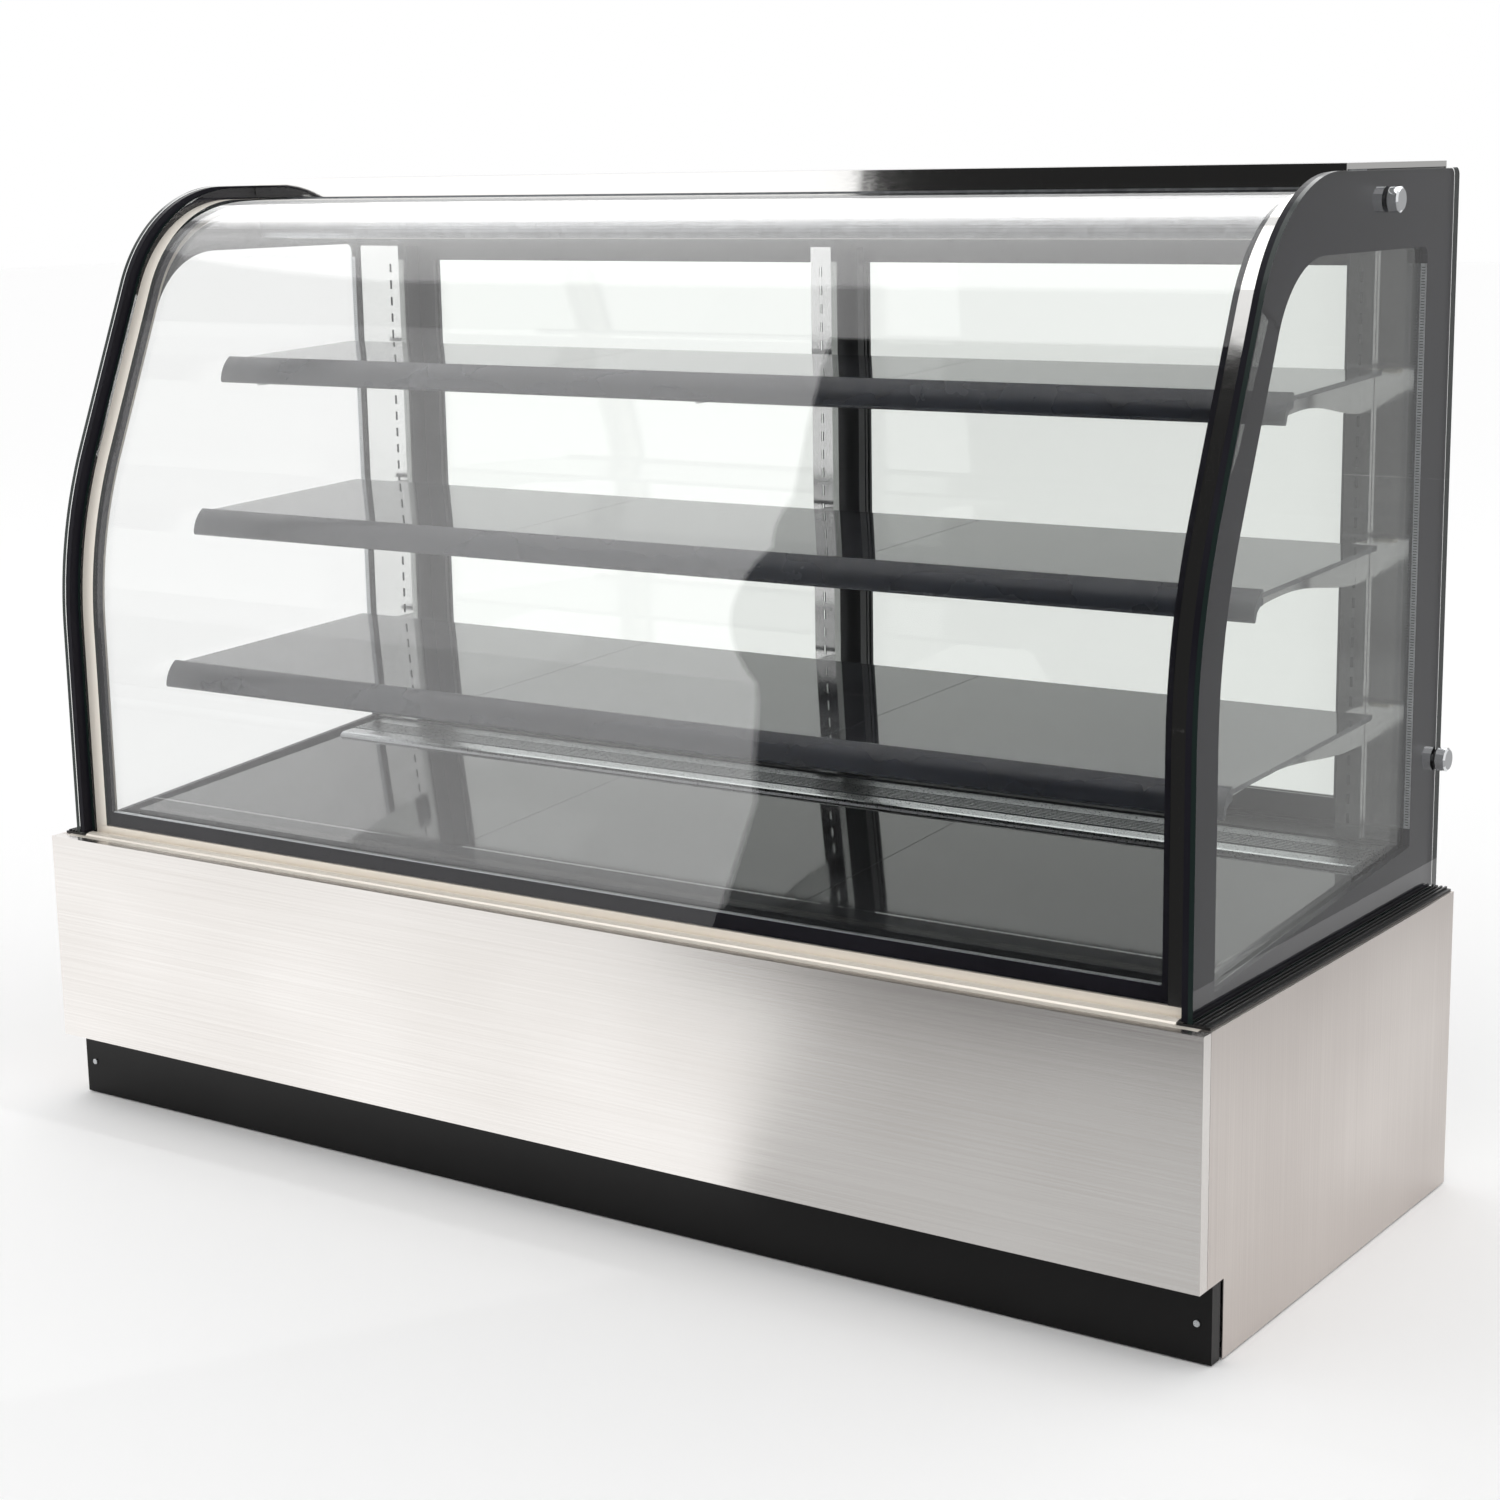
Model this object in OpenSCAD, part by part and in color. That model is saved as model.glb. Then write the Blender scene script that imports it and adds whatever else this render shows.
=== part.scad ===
// Refrigerated glass display showcase with a curved front, three shelves and rear sliding doors.
// X runs along the counter, the customer's side faces -Y, Z is up and the floor is at Z = 0.

/* [Overall] */
// Width over the base side panels
case_w = 1800; // [1200:10:2400]
// Depth from the front panel to the top panel's rear overhang
case_d = 730; // [600:5:900]
// Height from the floor to the top panel
case_h = 1300; // [1100:5:1600]

/* [Base] */
// Height of the stainless base
base_h = 391; // [320:1:470]
// Height of the black kick plate
kick_h = 97; // [60:1:120]
// How far the kick plate sits behind the front panel
kick_recess = 36; // [20:1:60]
// Thickness of the sheet panels
sheet_t = 1.5; // [1:0.1:2.5]
// Length of the front panel's return round each corner
corner_return = 18; // [12:1:25]
// Height of each levelling foot's pad and nut above the floor
foot_h = 20; // [16:1:22]

/* [Glass] */
// Distance from the side panel to the end glass
end_inset = 25.5; // [24:0.5:40]
// Distance from the front panel to the end glass's front edge
glass_front = 25; // [20:1:40]
// Backward lean of the straight stretch of the front curve, in degrees
lean = 23; // [15:1:30]
// Thickness of the end glass's outer pane
end_pane_t = 6; // [4:1:8]
// Depth of the seal and spacer between two panes
seal_t = 8; // [6:1:12]
// Thickness of every inner pane
pane_t = 5; // [4:0.5:6]
// How far the front glass sits behind the end glass's edge
front_recess = 20; // [16:1:26]
// Width of the polished trims beside the front glass
trim_w = 21; // [15:1:30]
// Width of the black border along the end glass's front edge
border_front = 65; // [50:1:80]
// Height of the black border along the end glass's top edge
border_top = 92; // [70:1:110]
// Width of the black border along the end glass's rear edge
border_rear = 79; // [60:1:100]

/* [Deck and shelves] */
// Forward tilt of the deck, in degrees
deck_tilt = 4.3; // [0:0.1:6]
// Forward tilt of the shelves, in degrees
shelf_tilt = 2.5; // [0:0.1:5]
// Depth of the lowest shelf
shelf_depth = 420; // [320:1:450]
// How much shorter each higher shelf is
shelf_step = 71; // [40:1:90]
// Thickness of the shelf glass
shelf_t = 6; // [5:0.5:8]
// Distance from one seam to the next on the deck and shelves, as a share of the width
seam_share = 0.3333; // [0.3:0.001:0.36]
// Height of the low guard glass above the deck
guard_h = 28; // [20:1:45]

/* [Rear] */
// Width of the sliding doors' stiles
stile_w = 60; // [40:1:70]
// Height of the sliding doors' rails
rail_h = 35; // [25:1:45]
// Depth of each door frame, front to back
door_t = 15; // [12:0.5:16]
// Width of the slotted shelf posts
post_w = 33; // [25:1:40]
// Distance between the slots in the shelf posts
slot_pitch = 25; // [20:1:40]

/* [Clearances] */
// Gap between a sliding door and its track
door_gap = 0.8; // [0.5:0.1:1.5]
// Gap around each button and rocker
button_gap = 0.3; // [0.2:0.05:0.5]
// Radial gap of each fan hub on its motor shaft
shaft_gap = 0.05; // [0.02:0.01:0.1]
// Gap between glass edges and the parts around them
glass_gap = 0.5; // [0.3:0.1:1]

/* [Hidden] */
$fn = 48;
half_w = case_w / 2;
rear_y = case_d - 8;
base_back = case_d - 12;
glass_top = case_h - 8;
glass_h = glass_top - base_h;
end_out = half_w - end_inset;
pane_in = end_out - end_pane_t;
seal_in = pane_in - seal_t;
end_in = seal_in - pane_t;
inner_half = end_in - glass_gap;
sin_l = sin(lean);
cos_l = cos(lean);

// The curved outline of the ends: upright, then a wide arc, a leaning straight and a tight top arc
curve_z = base_h + 0.331 * glass_h;
r_low = 0.71 * glass_h;
r_top = 0.238 * glass_h;
arc_step = 3;
function arc(cy, cz, r, a0, a1) =
    [for (i = [0 : ceil((a1 - a0) / arc_step)])
        let (a = min(a0 + i * arc_step, a1)) [cy - r * cos(a), cz + r * sin(a)]];
function low_end(d) = [glass_front + r_low - (r_low - d) * cos_l, curve_z + (r_low - d) * sin_l];
function top_centre_y(d, top_z, r) =
    low_end(d)[0] + (r + (top_z - r - low_end(d)[1]) * sin_l) / cos_l;
function front_line(d, bottom_z, top_z, r, end_y) = concat(
    [[glass_front + d, bottom_z]],
    arc(glass_front + r_low, curve_z, r_low - d, 0, lean),
    arc(top_centre_y(d, top_z, r), top_z - r, r, lean, 90),
    [[end_y, top_z]]);
function line_at(d, bottom_z, end_y) = front_line(d, bottom_z, glass_top - d, r_top - d, end_y);
function backwards(p) = [for (i = [len(p) - 1 : -1 : 0]) p[i]];

// Front glass: outer pane, spacer and inner pane
front_out = front_recess;
front_pane_t = pane_t - 1;
front_seal_t = seal_t - 2;
front_in = front_out + 2 * front_pane_t + front_seal_t;
glass_half = end_in - trim_w;
crown_y = top_centre_y(0, glass_top, r_top);
front_end_y = crown_y + 66;
sill_z = base_h + 13;

// Top panel, lamp housing and header
fascia_drop = 26;
lamp_d = 52;
lamp_z = glass_top - 77;
header_y = rear_y - 82;
post_top = base_h + 0.895 * glass_h;
door_top = post_top + 12;
track_z = base_h + 71;
kerb_top = track_z - 0.6;

// Deck: a plane through the front lip that rises to the back
deck_y0 = 112;
deck_y1 = header_y - 105;
deck_z0 = base_h + 24;
deck_half = inner_half - 16;
function deck_z(y) = deck_z0 + (y - deck_y0) * tan(deck_tilt);
lip_z = deck_z0 - 8.6;
pan_t = 1.2;

// Tub under the deck
tub_out = end_in + 7;
tub_bottom = base_h * 0.576;
tub_top = base_h - 3;
tub_wall = 30;
tub_front = 52;
tub_back = rear_y - 72;

// Shelves
levels = [0.269, 0.502, 0.737];
shelf_back = header_y - 45;
shelf_half = inner_half - 20;
post_x = inner_half - 68;
slot_z0 = track_z + 20;
nose_depth = 24;
nose_slot = 17.5;
nose_r = 45;
nose_cy = 44.7;
nose_cz = 33.1;
slot_play = 0.3;
function shelf_z(i) = base_h + levels[i] * glass_h;
function shelf_front(i) = shelf_back - shelf_depth + i * shelf_step;
function shelf_at(i, y) = shelf_z(i) - (shelf_back - y) * tan(shelf_tilt);

// Doors
door_half = inner_half - 55;
lap = stile_w / 2;
inner_plane = rear_y - 36;
outer_plane = rear_y - 18;

// Machinery
floor_z = 52;
rail_t = 30;
tube_wall = 2.5;
fan_r = 62;
cond_x = half_w * 0.36;
cond_z = floor_z + 84;
evap_x = half_w * 0.36;
evap_z = tub_bottom + tub_wall + 64;
evap_y = 330;

// Controls on the rear of the base
panel_x0 = -half_w + 60;
panel_x1 = -half_w + 400;
panel_z0 = base_h - 120;
panel_z1 = base_h - 20;
ctl_x = panel_x0 + 110;
ctl_z = (panel_z0 + panel_z1) / 2;
ctl_w = 76;
ctl_h = 34;
face_y = base_back + 3;
button_w = 8;
button_z = ctl_z - 10;
button_xs = [ctl_x - 26, ctl_x - 13, ctl_x];
lamp_sw_x = panel_x0 + 205;
power_sw_x = panel_x0 + 265;
rocker_w = 19;
rocker_h = 27;
rocker_tip = 7;
pivot_y = face_y - 4;
pin_r = 1.5;
pin_out = 2;
pin_gap = 0.05;
inlet_x = -half_w + 130;
inlet_z = 110;

stainless = [0.80, 0.79, 0.77];
polished = [0.86, 0.87, 0.88];
black = [0.04, 0.04, 0.045];
charcoal = [0.17, 0.18, 0.20];
clear = [0.80, 0.88, 0.86, 0.30];
galv = [0.62, 0.64, 0.66];
copper = [0.72, 0.42, 0.25];

// ---- helpers -------------------------------------------------------------------------------

// Everything is drawn from the front panel backwards, then centred over the origin
module centred() {
    translate([0, -case_d / 2, 0]) children();
}

module block(x0, x1, y0, y1, z0, z1) {
    translate([x0, y0, z0]) cube([x1 - x0, y1 - y0, z1 - z0]);
}

// A side profile, drawn as [y, z] points, pulled along X
module pull_x(x0, x1) {
    translate([x0, 0, 0]) rotate([90, 0, 90]) linear_extrude(x1 - x0) children();
}

// A plan or elevation disc along Y
module rod_y(x, z, y0, y1, r) {
    translate([x, y0, z]) rotate([-90, 0, 0]) cylinder(h = y1 - y0, r = r);
}

module rod_x(y, z, x0, x1, r) {
    translate([x0, y, z]) rotate([0, 90, 0]) cylinder(h = x1 - x0, r = r);
}

module mirrored(side) {
    if (side < 0) mirror([1, 0, 0]) children();
    else children();
}

// A sloping sheet under the plane z = z0 + (y - y0) tan(tilt)
module sloped(x0, x1, y0, y1, z0, tilt, t) {
    rise = (y1 - y0) * tan(tilt);
    pull_x(x0, x1) polygon([[y0, z0 - t], [y1, z0 + rise - t], [y1, z0 + rise], [y0, z0]]);
}

// ---- base ----------------------------------------------------------------------------------

module base_frame() {
    fx = half_w - 4;
    top0 = base_h - 3 - rail_t;
    bot0 = foot_h;
    color(galv) centred() difference() {
        union() {
            for (z0 = [bot0, top0]) {
                y0 = z0 == bot0 ? 62 : 2 + sheet_t;
                for (s = [-1, 1]) mirrored(s)
                    block(fx - rail_t, fx, y0, base_back - 4, z0, z0 + rail_t);
                block(-fx, fx, y0, y0 + rail_t, z0, z0 + rail_t);
                block(-fx, fx, base_back - 4 - rail_t, base_back - 4, z0, z0 + rail_t);
            }
            for (s = [-1, 1]) mirrored(s)
                for (y0 = [62, base_back - 4 - rail_t])
                    block(fx - rail_t, fx, y0, y0 + rail_t, bot0, base_h - 3);
            for (x = [-half_w * 0.55, half_w * 0.02, half_w * 0.6])
                block(x, x + rail_t, 62, base_back - 4, tub_bottom - 20, tub_bottom);
            for (y0 = [62, base_back - 4 - rail_t])
                block(-fx, fx, y0, y0 + rail_t, tub_bottom - 20, tub_bottom);
            block(-fx + 1, fx - 1, 63, base_back - 5, floor_z - 2, floor_z);
            block(-fx, fx, 2 + sheet_t, 2 + sheet_t + 20, kick_h + 3, kick_h + 18);
            for (s = [-1, 1]) mirrored(s)
                block(fx - rail_t, fx, 2 + sheet_t, 92, kick_h + 3, kick_h + 18);
        }
        for (x = [-fx + rail_t / 2, fx - rail_t / 2], y = [77, base_back - 19])
            translate([x, y, foot_h - 1]) cylinder(h = rail_t + 4, r = 5.1);
        // the long rails are open-ended tubes
        for (y0 = [62, base_back - 4 - rail_t])
            block(-fx - 1, fx + 1, y0 + tube_wall, y0 + rail_t - tube_wall,
                bot0 + tube_wall, bot0 + rail_t - tube_wall);
        for (y0 = [2 + sheet_t, base_back - 4 - rail_t])
            block(-fx - 1, fx + 1, y0 + tube_wall, y0 + rail_t - tube_wall,
                top0 + tube_wall, top0 + rail_t - tube_wall);
        // room for the control box
        block(panel_x0 + 2, panel_x1 - 2, base_back - 60, base_back + 1, panel_z0 + 2, panel_z1 - 2);
    }
}

module levelling_feet() {
    fx = half_w - 4 - rail_t / 2;
    color(black) centred()
        for (x = [-fx, fx], y = [77, base_back - 19]) translate([x, y, 0]) {
            cylinder(h = 8, r1 = 17, r2 = 15);
            translate([0, 0, 8]) cylinder(h = 6, r = 9, $fn = 6);
            translate([0, 0, 14]) cylinder(h = foot_h + 12, r = 5);
        }
}

module front_panel() {
    flange_x = half_w - sheet_t - 0.3;
    color(stainless) centred() {
        block(-half_w, half_w, 0, sheet_t, kick_h, base_h);
        block(-half_w, half_w, 0, 14, base_h - sheet_t, base_h);
        block(-half_w, half_w, 0, corner_return, kick_h, kick_h + sheet_t);
        block(-flange_x, flange_x, 0, kick_recess - 1, kick_h, kick_h + sheet_t);
        for (s = [-1, 1]) mirrored(s) {
            block(half_w - sheet_t, half_w, 0, corner_return, kick_h, base_h);
            block(half_w - 14, half_w, 0, corner_return, base_h - sheet_t, base_h);
        }
    }
}

module side_panel() {
    gap = 0.6;
    color(stainless) centred() {
        pull_x(half_w - sheet_t, half_w) polygon([
            [corner_return + gap, kick_h],
            [kick_recess + 24, kick_h],
            [kick_recess + 24, 2],
            [base_back, 2],
            [base_back, base_h],
            [corner_return + gap, base_h]]);
        block(half_w - 14, half_w, corner_return + gap, base_back, base_h - sheet_t, base_h);
    }
}

module left_side_panel() mirror([1, 0, 0]) side_panel();
module right_side_panel() side_panel();

module kick_plate() {
    kx = half_w - sheet_t - 0.3;
    color(black) centred() difference() {
        union() {
            block(-kx, kx, kick_recess, kick_recess + sheet_t, 2, kick_h - 1);
            for (s = [-1, 1]) mirrored(s)
                block(kx - sheet_t, kx, kick_recess, kick_recess + 20, 2, kick_h - 1);
            block(-kx + 20, kx - 20, kick_recess, kick_recess + 20, 2, 2 + sheet_t);
        }
        for (x = [-kx + 18, kx - 18])
            rod_y(x, kick_h / 2, kick_recess - 1, kick_recess + 3, 2.1);
    }
}

module screw(x, z, y, out) {
    translate([x, y, z]) rotate([-90 * out, 0, 0]) {
        cylinder(h = 1.8, r = 4);
        translate([0, 0, -5]) cylinder(h = 5.2, r = 2);
    }
}

module panel_screws() {
    kx = half_w - sheet_t - 0.3 - 18;
    color(polished) centred() {
        for (x = [-kx, kx]) screw(x, kick_h / 2, kick_recess, -1);
        for (x = service_screw_x(), z = [70, base_h - 14]) screw(x, z, base_back + sheet_t, 1);
        for (x = [panel_x0 + 10, panel_x1 - 10], z = [panel_z0 + 10, panel_z1 - 10])
            screw(x, z, face_y, 1);
    }
}

function service_screw_x() = [-half_w + 30, 0, half_w - 30];

module service_panel() {
    sx = half_w - 2;
    color(stainless) centred() difference() {
        union() {
            block(-sx, sx, base_back, base_back + sheet_t, foot_h + 10, base_h - 3.2);
            for (z = [80 : 20 : base_h - 100])
                pull_x(cond_x - 170, cond_x + 190) polygon([[base_back + sheet_t - 0.2, z],
                    [base_back + sheet_t + 7, z - 1], [base_back + sheet_t - 0.2, z + 11]]);
        }
        for (z = [80 : 20 : base_h - 100])
            block(cond_x - 168, cond_x + 188, base_back - 1, base_back + sheet_t + 2, z + 1.5, z + 6);
        block(panel_x0 + 4, panel_x1 - 4, base_back - 1, base_back + 5, panel_z0 + 4, panel_z1 - 4);
        block(inlet_x - 14.2, inlet_x + 14.2, base_back - 1, base_back + 5, inlet_z - 12.2, inlet_z + 12.2);
        for (x = service_screw_x(), z = [70, base_h - 14])
            rod_y(x, z, base_back - 1, base_back + 4, 2.1);
    }
}

module control_panel() {
    t = face_y - base_back - sheet_t;
    color(charcoal) centred() difference() {
        union() {
            block(panel_x0, panel_x1, base_back + sheet_t, face_y, panel_z0, panel_z1);
            difference() {
                block(panel_x0 + 5, panel_x1 - 5, base_back - 50, face_y - 0.5, panel_z0 + 5, panel_z1 - 5);
                block(panel_x0 + 7, panel_x1 - 7, base_back - 48, face_y - t, panel_z0 + 7, panel_z1 - 7);
            }
        }
        block(ctl_x - ctl_w / 2 + 2, ctl_x + ctl_w / 2 - 2, base_back - 1, face_y + 1,
            ctl_z - ctl_h / 2 + 2, ctl_z + ctl_h / 2 - 2);
        for (x = [lamp_sw_x, power_sw_x])
            block(x - rocker_w / 2 - button_gap, x + rocker_w / 2 + button_gap, base_back - 1, face_y + 1,
                ctl_z - rocker_h / 2 - button_gap, ctl_z + rocker_h / 2 + button_gap);
        for (x = [panel_x0 + 10, panel_x1 - 10], z = [panel_z0 + 10, panel_z1 - 10])
            rod_y(x, z, base_back - 1, face_y + 1, 2.1);
    }
    // ears that hold the rockers' cross pins
    color(charcoal) centred() for (x = [lamp_sw_x, power_sw_x], s = [-1, 1]) difference() {
        ear = x + s * (rocker_w / 2 + button_gap + 1.2);
        block(ear - 1.2, ear + 1.2, pivot_y - 3, face_y - 1, ctl_z - 3, ctl_z + 3);
        rod_x(pivot_y, ctl_z, ear - 2, ear + 2, pin_r + pin_gap);
    }
}

// Digital thermostat: bezel outside, body inside, pockets for three keys
module controller_body() {
    color(black) centred() difference() {
        union() {
            block(ctl_x - ctl_w / 2, ctl_x + ctl_w / 2, face_y, face_y + 3,
                ctl_z - ctl_h / 2, ctl_z + ctl_h / 2);
            block(ctl_x - ctl_w / 2 + 2.2, ctl_x + ctl_w / 2 - 2.2, base_back - 38, face_y + 0.5,
                ctl_z - ctl_h / 2 + 2.2, ctl_z + ctl_h / 2 - 2.2);
        }
        block(ctl_x - 30, ctl_x + 12, face_y + 2.2, face_y + 4, ctl_z - 3, ctl_z + 13);
        for (x = button_xs)
            block(x - button_w / 2 - button_gap, x + button_w / 2 + button_gap, face_y - 3, face_y + 4,
                button_z - 2.5 - button_gap, button_z + 2.5 + button_gap);
    }
}

module key(i) {
    color([0.75, 0.76, 0.78]) centred()
        block(button_xs[i] - button_w / 2, button_xs[i] + button_w / 2, face_y - 1.6, face_y + 4.2,
            button_z - 2.5, button_z + 2.5);
}

module set_button() key(0);
module up_button() key(1);
module down_button() key(2);

// Rocker with two sloping faces on a cross pin; it rests with its lower half pressed in
module rocker(x, c) {
    color(c) centred() {
        rod_x(pivot_y, ctl_z, x - rocker_w / 2 - pin_out, x + rocker_w / 2 + pin_out, pin_r);
        translate([0, pivot_y, ctl_z]) rotate([-rocker_tip, 0, 0]) translate([0, -pivot_y, -ctl_z])
            pull_x(x - rocker_w / 2, x + rocker_w / 2) polygon([
            [face_y - 8, ctl_z - 9],
            [face_y - 8, ctl_z + 9],
            [face_y + 0.5, ctl_z + rocker_h / 2 - 0.9],
            [face_y + 4.4, ctl_z + rocker_h / 2 - 1.4],
            [face_y + 1.6, ctl_z],
            [face_y + 4.4, ctl_z - rocker_h / 2 + 1.4],
            [face_y + 0.5, ctl_z - rocker_h / 2 + 0.9]]);
    }
}

module light_switch() rocker(lamp_sw_x, [0.85, 0.86, 0.84]);
module power_switch() rocker(power_sw_x, [0.10, 0.45, 0.16]);

module power_inlet() {
    color(black) centred() {
        difference() {
            union() {
                block(inlet_x - 22, inlet_x + 22, base_back + sheet_t, base_back + 4, inlet_z - 15, inlet_z + 15);
                block(inlet_x - 14, inlet_x + 14, base_back - 24, base_back + 3, inlet_z - 12, inlet_z + 12);
            }
            block(inlet_x - 12, inlet_x + 12, base_back - 16, base_back + 5, inlet_z - 9, inlet_z + 9);
        }
        for (dx = [-7, 0, 7])
            block(inlet_x + dx - 1, inlet_x + dx + 1, base_back - 18, base_back - 2, inlet_z - 2, inlet_z + 2);
    }
}

// ---- sill and ledges -----------------------------------------------------------------------

// Stepped polished sill; its upstand makes the bottom edge of the front glass's surround
module front_sill() {
    y = glass_front + front_out;
    y_in = y + front_in - front_out + 3.5;
    color(polished) centred() {
        pull_x(-end_in + 0.3, end_in - 0.3) polygon([
            [14.3, base_h - 3], [14.3, base_h],
            [y - 22, base_h + 1], [y - 20, base_h + 3], [y - 14, base_h + 4.5], [y - 8, base_h + 4.5],
            [y - 5, base_h + 3], [y - 5, base_h + 1.5], [y, base_h + 1.5],
            [y, sill_z], [y_in, sill_z], [y_in, base_h - 1], [40, base_h - 1], [40, base_h - 3]]);
        block(-glass_half + 1, glass_half - 1, y_in - 1.5, y_in, base_h, sill_z + 4);
        for (s = [-1, 1]) mirrored(s)
            block(end_in - 0.3, half_w - 14.5, 14.3, 24, base_h - 3, base_h);
    }
}

// Ribbed black strips that the end glasses stand on
module ledge_strips() {
    x0 = end_in + 0.3;
    x1 = half_w - 4;
    color(black) centred() for (s = [-1, 1]) mirrored(s) {
        block(x0, x1, 24.3, rear_y - 4, base_h, base_h + 2.8);
        for (x = [end_out + 2, end_out + 8, end_out + 14])
            block(x, x + 2.5, 24.3, rear_y - 4, base_h + 2.5, base_h + 5.5);
    }
}

// ---- tub, deck and cooling -----------------------------------------------------------------

module insulated_tub() {
    color([0.85, 0.83, 0.72]) centred() difference() {
        block(-tub_out, tub_out, tub_front, tub_back, tub_bottom, tub_top);
        block(-tub_out + tub_wall, tub_out - tub_wall, tub_front + tub_wall, tub_back - tub_wall,
            tub_bottom + tub_wall, tub_top + 1);
        translate([0, tub_front + tub_wall + 40, tub_bottom - 1]) cylinder(h = tub_wall + 2, r = 11);
    }
}

module tub_liner() {
    x1 = tub_out - tub_wall;
    y0 = tub_front + tub_wall;
    y1 = tub_back - tub_wall;
    z0 = tub_bottom + tub_wall;
    color(polished) centred() {
        difference() {
            block(-x1, x1, y0, y1, z0, tub_top);
            block(-x1 + pan_t, x1 - pan_t, y0 + pan_t, y1 - pan_t, z0 + pan_t, tub_top + 1);
            translate([0, y0 + 40, z0 - 1]) cylinder(h = 4, r = 10);
        }
        // drain spout
        translate([0, y0 + 40, tub_bottom - 12]) difference() {
            cylinder(h = z0 - tub_bottom + 12 + pan_t, r = 10.5);
            translate([0, 0, -1]) cylinder(h = z0 - tub_bottom + 16, r = 9);
        }
        // sides rise beside the deck and fold out to the end glass
        for (s = [-1, 1]) mirrored(s) {
            pull_x(x1 - pan_t, x1) polygon([[y0, tub_top - 1], [y1, tub_top - 1],
                [y1, deck_z(y1) - 10], [y0, deck_z(y0) - 10]]);
            sloped(x1 - pan_t, inner_half, deck_y0, y1, deck_z(deck_y0) - 9, deck_tilt, pan_t);
        }
        block(-x1, x1, y0, y0 + pan_t, tub_top - 1, lip_z - pan_t - 0.1);
        block(-x1, x1, y1 - pan_t, y1, tub_top - 1, deck_z(y1) - 20);
    }
}

// Black strip between the front glass and the deck; the guard glass stands on it
module well_cover() {
    color(black) centred()
        block(-inner_half + 0.5, inner_half - 0.5, glass_front + front_in + 9, deck_y0 - 1, lip_z - pan_t, lip_z);
}

module deck_pans() {
    w = 2 * deck_half * seam_share;
    edges = [-deck_half, -w / 2, w / 2, deck_half];
    color([0.35, 0.36, 0.38]) centred()
        for (i = [0 : 2]) {
            x0 = edges[i] + 0.5;
            x1 = edges[i + 1] - 0.5;
            sloped(x0, x1, deck_y0, deck_y1, deck_z0, deck_tilt, pan_t);
            block(x0, x1, deck_y0, deck_y0 + pan_t, deck_z0 - 8, deck_z0 - 0.2);
            block(x0, x1, deck_y1 - pan_t, deck_y1, deck_z(deck_y1) - 8, deck_z(deck_y1) - 0.3);
            for (x = [x0, x1 - pan_t])
                sloped(x, x + pan_t, deck_y0 + 1, deck_y1 - 1, deck_z0 - 0.3, deck_tilt, 8);
        }
}

// Rounded strip and ribbed grating behind the deck, where air returns
module air_grille() {
    y0 = deck_y1 + 1;
    z0 = deck_z(y0) + 1;
    ribs = 6;
    color([0.55, 0.56, 0.57]) centred() {
        pull_x(-deck_half, deck_half) polygon(concat(
            [[y0, z0 - 6], [y0, z0 - 2]],
            [for (a = [0 : 30 : 90]) [y0 + 8 - 8 * cos(a), z0 - 2 + 8 * sin(a)]],
            [[y0 + 30, z0 + 7], [y0 + 33, z0 + 5], [y0 + 33, z0 - 6]]));
        for (i = [0 : ribs - 1])
            block(-deck_half, deck_half, y0 + 36 + i * 6, y0 + 39 + i * 6, z0 - 2, z0 + 8 + i * 0.4);
        block(-deck_half, deck_half, y0 + 72, header_y - 0.5, z0 - 2, z0 + 10.5);
        for (x = [-deck_half, -deck_half / 2, -1.5, deck_half / 2, deck_half - 3])
            block(x, x + 3, y0 + 30, header_y - 0.5, z0 - 3, z0 - 1.5);
    }
}

module guard_glass() {
    color(clear) centred()
        block(-deck_half + 38, deck_half - 38, deck_y0 - 7, deck_y0 - 2, lip_z, deck_z0 + guard_h - 6);
}

module evaporator_coil() {
    x1 = half_w * 0.62;
    z0 = tub_bottom + tub_wall + 6;
    color([0.75, 0.77, 0.79]) centred() {
        for (x = [-x1 : 12 : x1]) block(x, x + 1.2, evap_y + 60, evap_y + 190, z0, z0 + 90);
        for (i = [0 : 3], j = [0 : 2])
            rod_x(evap_y + 78 + i * 31, z0 + 17 + j * 28, -x1 - 12, x1 + 14, 5);
    }
}

module evaporator_fan_panel() {
    x1 = half_w * 0.62;
    z0 = tub_bottom + tub_wall + 1.5;
    color(galv) centred() {
        difference() {
            block(-x1, x1, evap_y, evap_y + 2, z0, tub_top + 4);
            for (s = [-1, 1]) rod_y(s * evap_x, evap_z, evap_y - 1, evap_y + 3, fan_r - 6);
        }
        block(-x1, x1, evap_y, evap_y + 50, z0, z0 + 1.5);
        // each motor hangs in the opening on a cross bar
        for (s = [-1, 1]) {
            rod_y(s * evap_x, evap_z, evap_y + 5, evap_y + 42, 24);
            block(s * evap_x - fan_r - 4, s * evap_x + fan_r + 4, evap_y + 1.5, evap_y + 6, evap_z - 5, evap_z + 5);
            rod_y(s * evap_x, evap_z, evap_y - 22, evap_y + 6, 4);
        }
    }
}

// Hub with five pitched blades on a shaft that runs along Y
module fan(x, y, z) {
    blades = 5;
    translate([x, y, z]) rotate([90, 0, 0]) {
        difference() {
            cylinder(h = 18, r = 17);
            translate([0, 0, -1]) cylinder(h = 20, r = 4 + shaft_gap);
        }
        for (i = [0 : blades - 1]) rotate([0, 0, i * 360 / blades])
            translate([16, 0, 9]) rotate([28, 0, 0])
                translate([0, -14, -0.8]) cube([fan_r - 28, 28, 1.6]);
    }
}

module evaporator_fan_left() color(charcoal) centred() fan(-evap_x, evap_y - 1.5, evap_z);
module evaporator_fan_right() color(charcoal) centred() fan(evap_x, evap_y - 1.5, evap_z);

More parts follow.
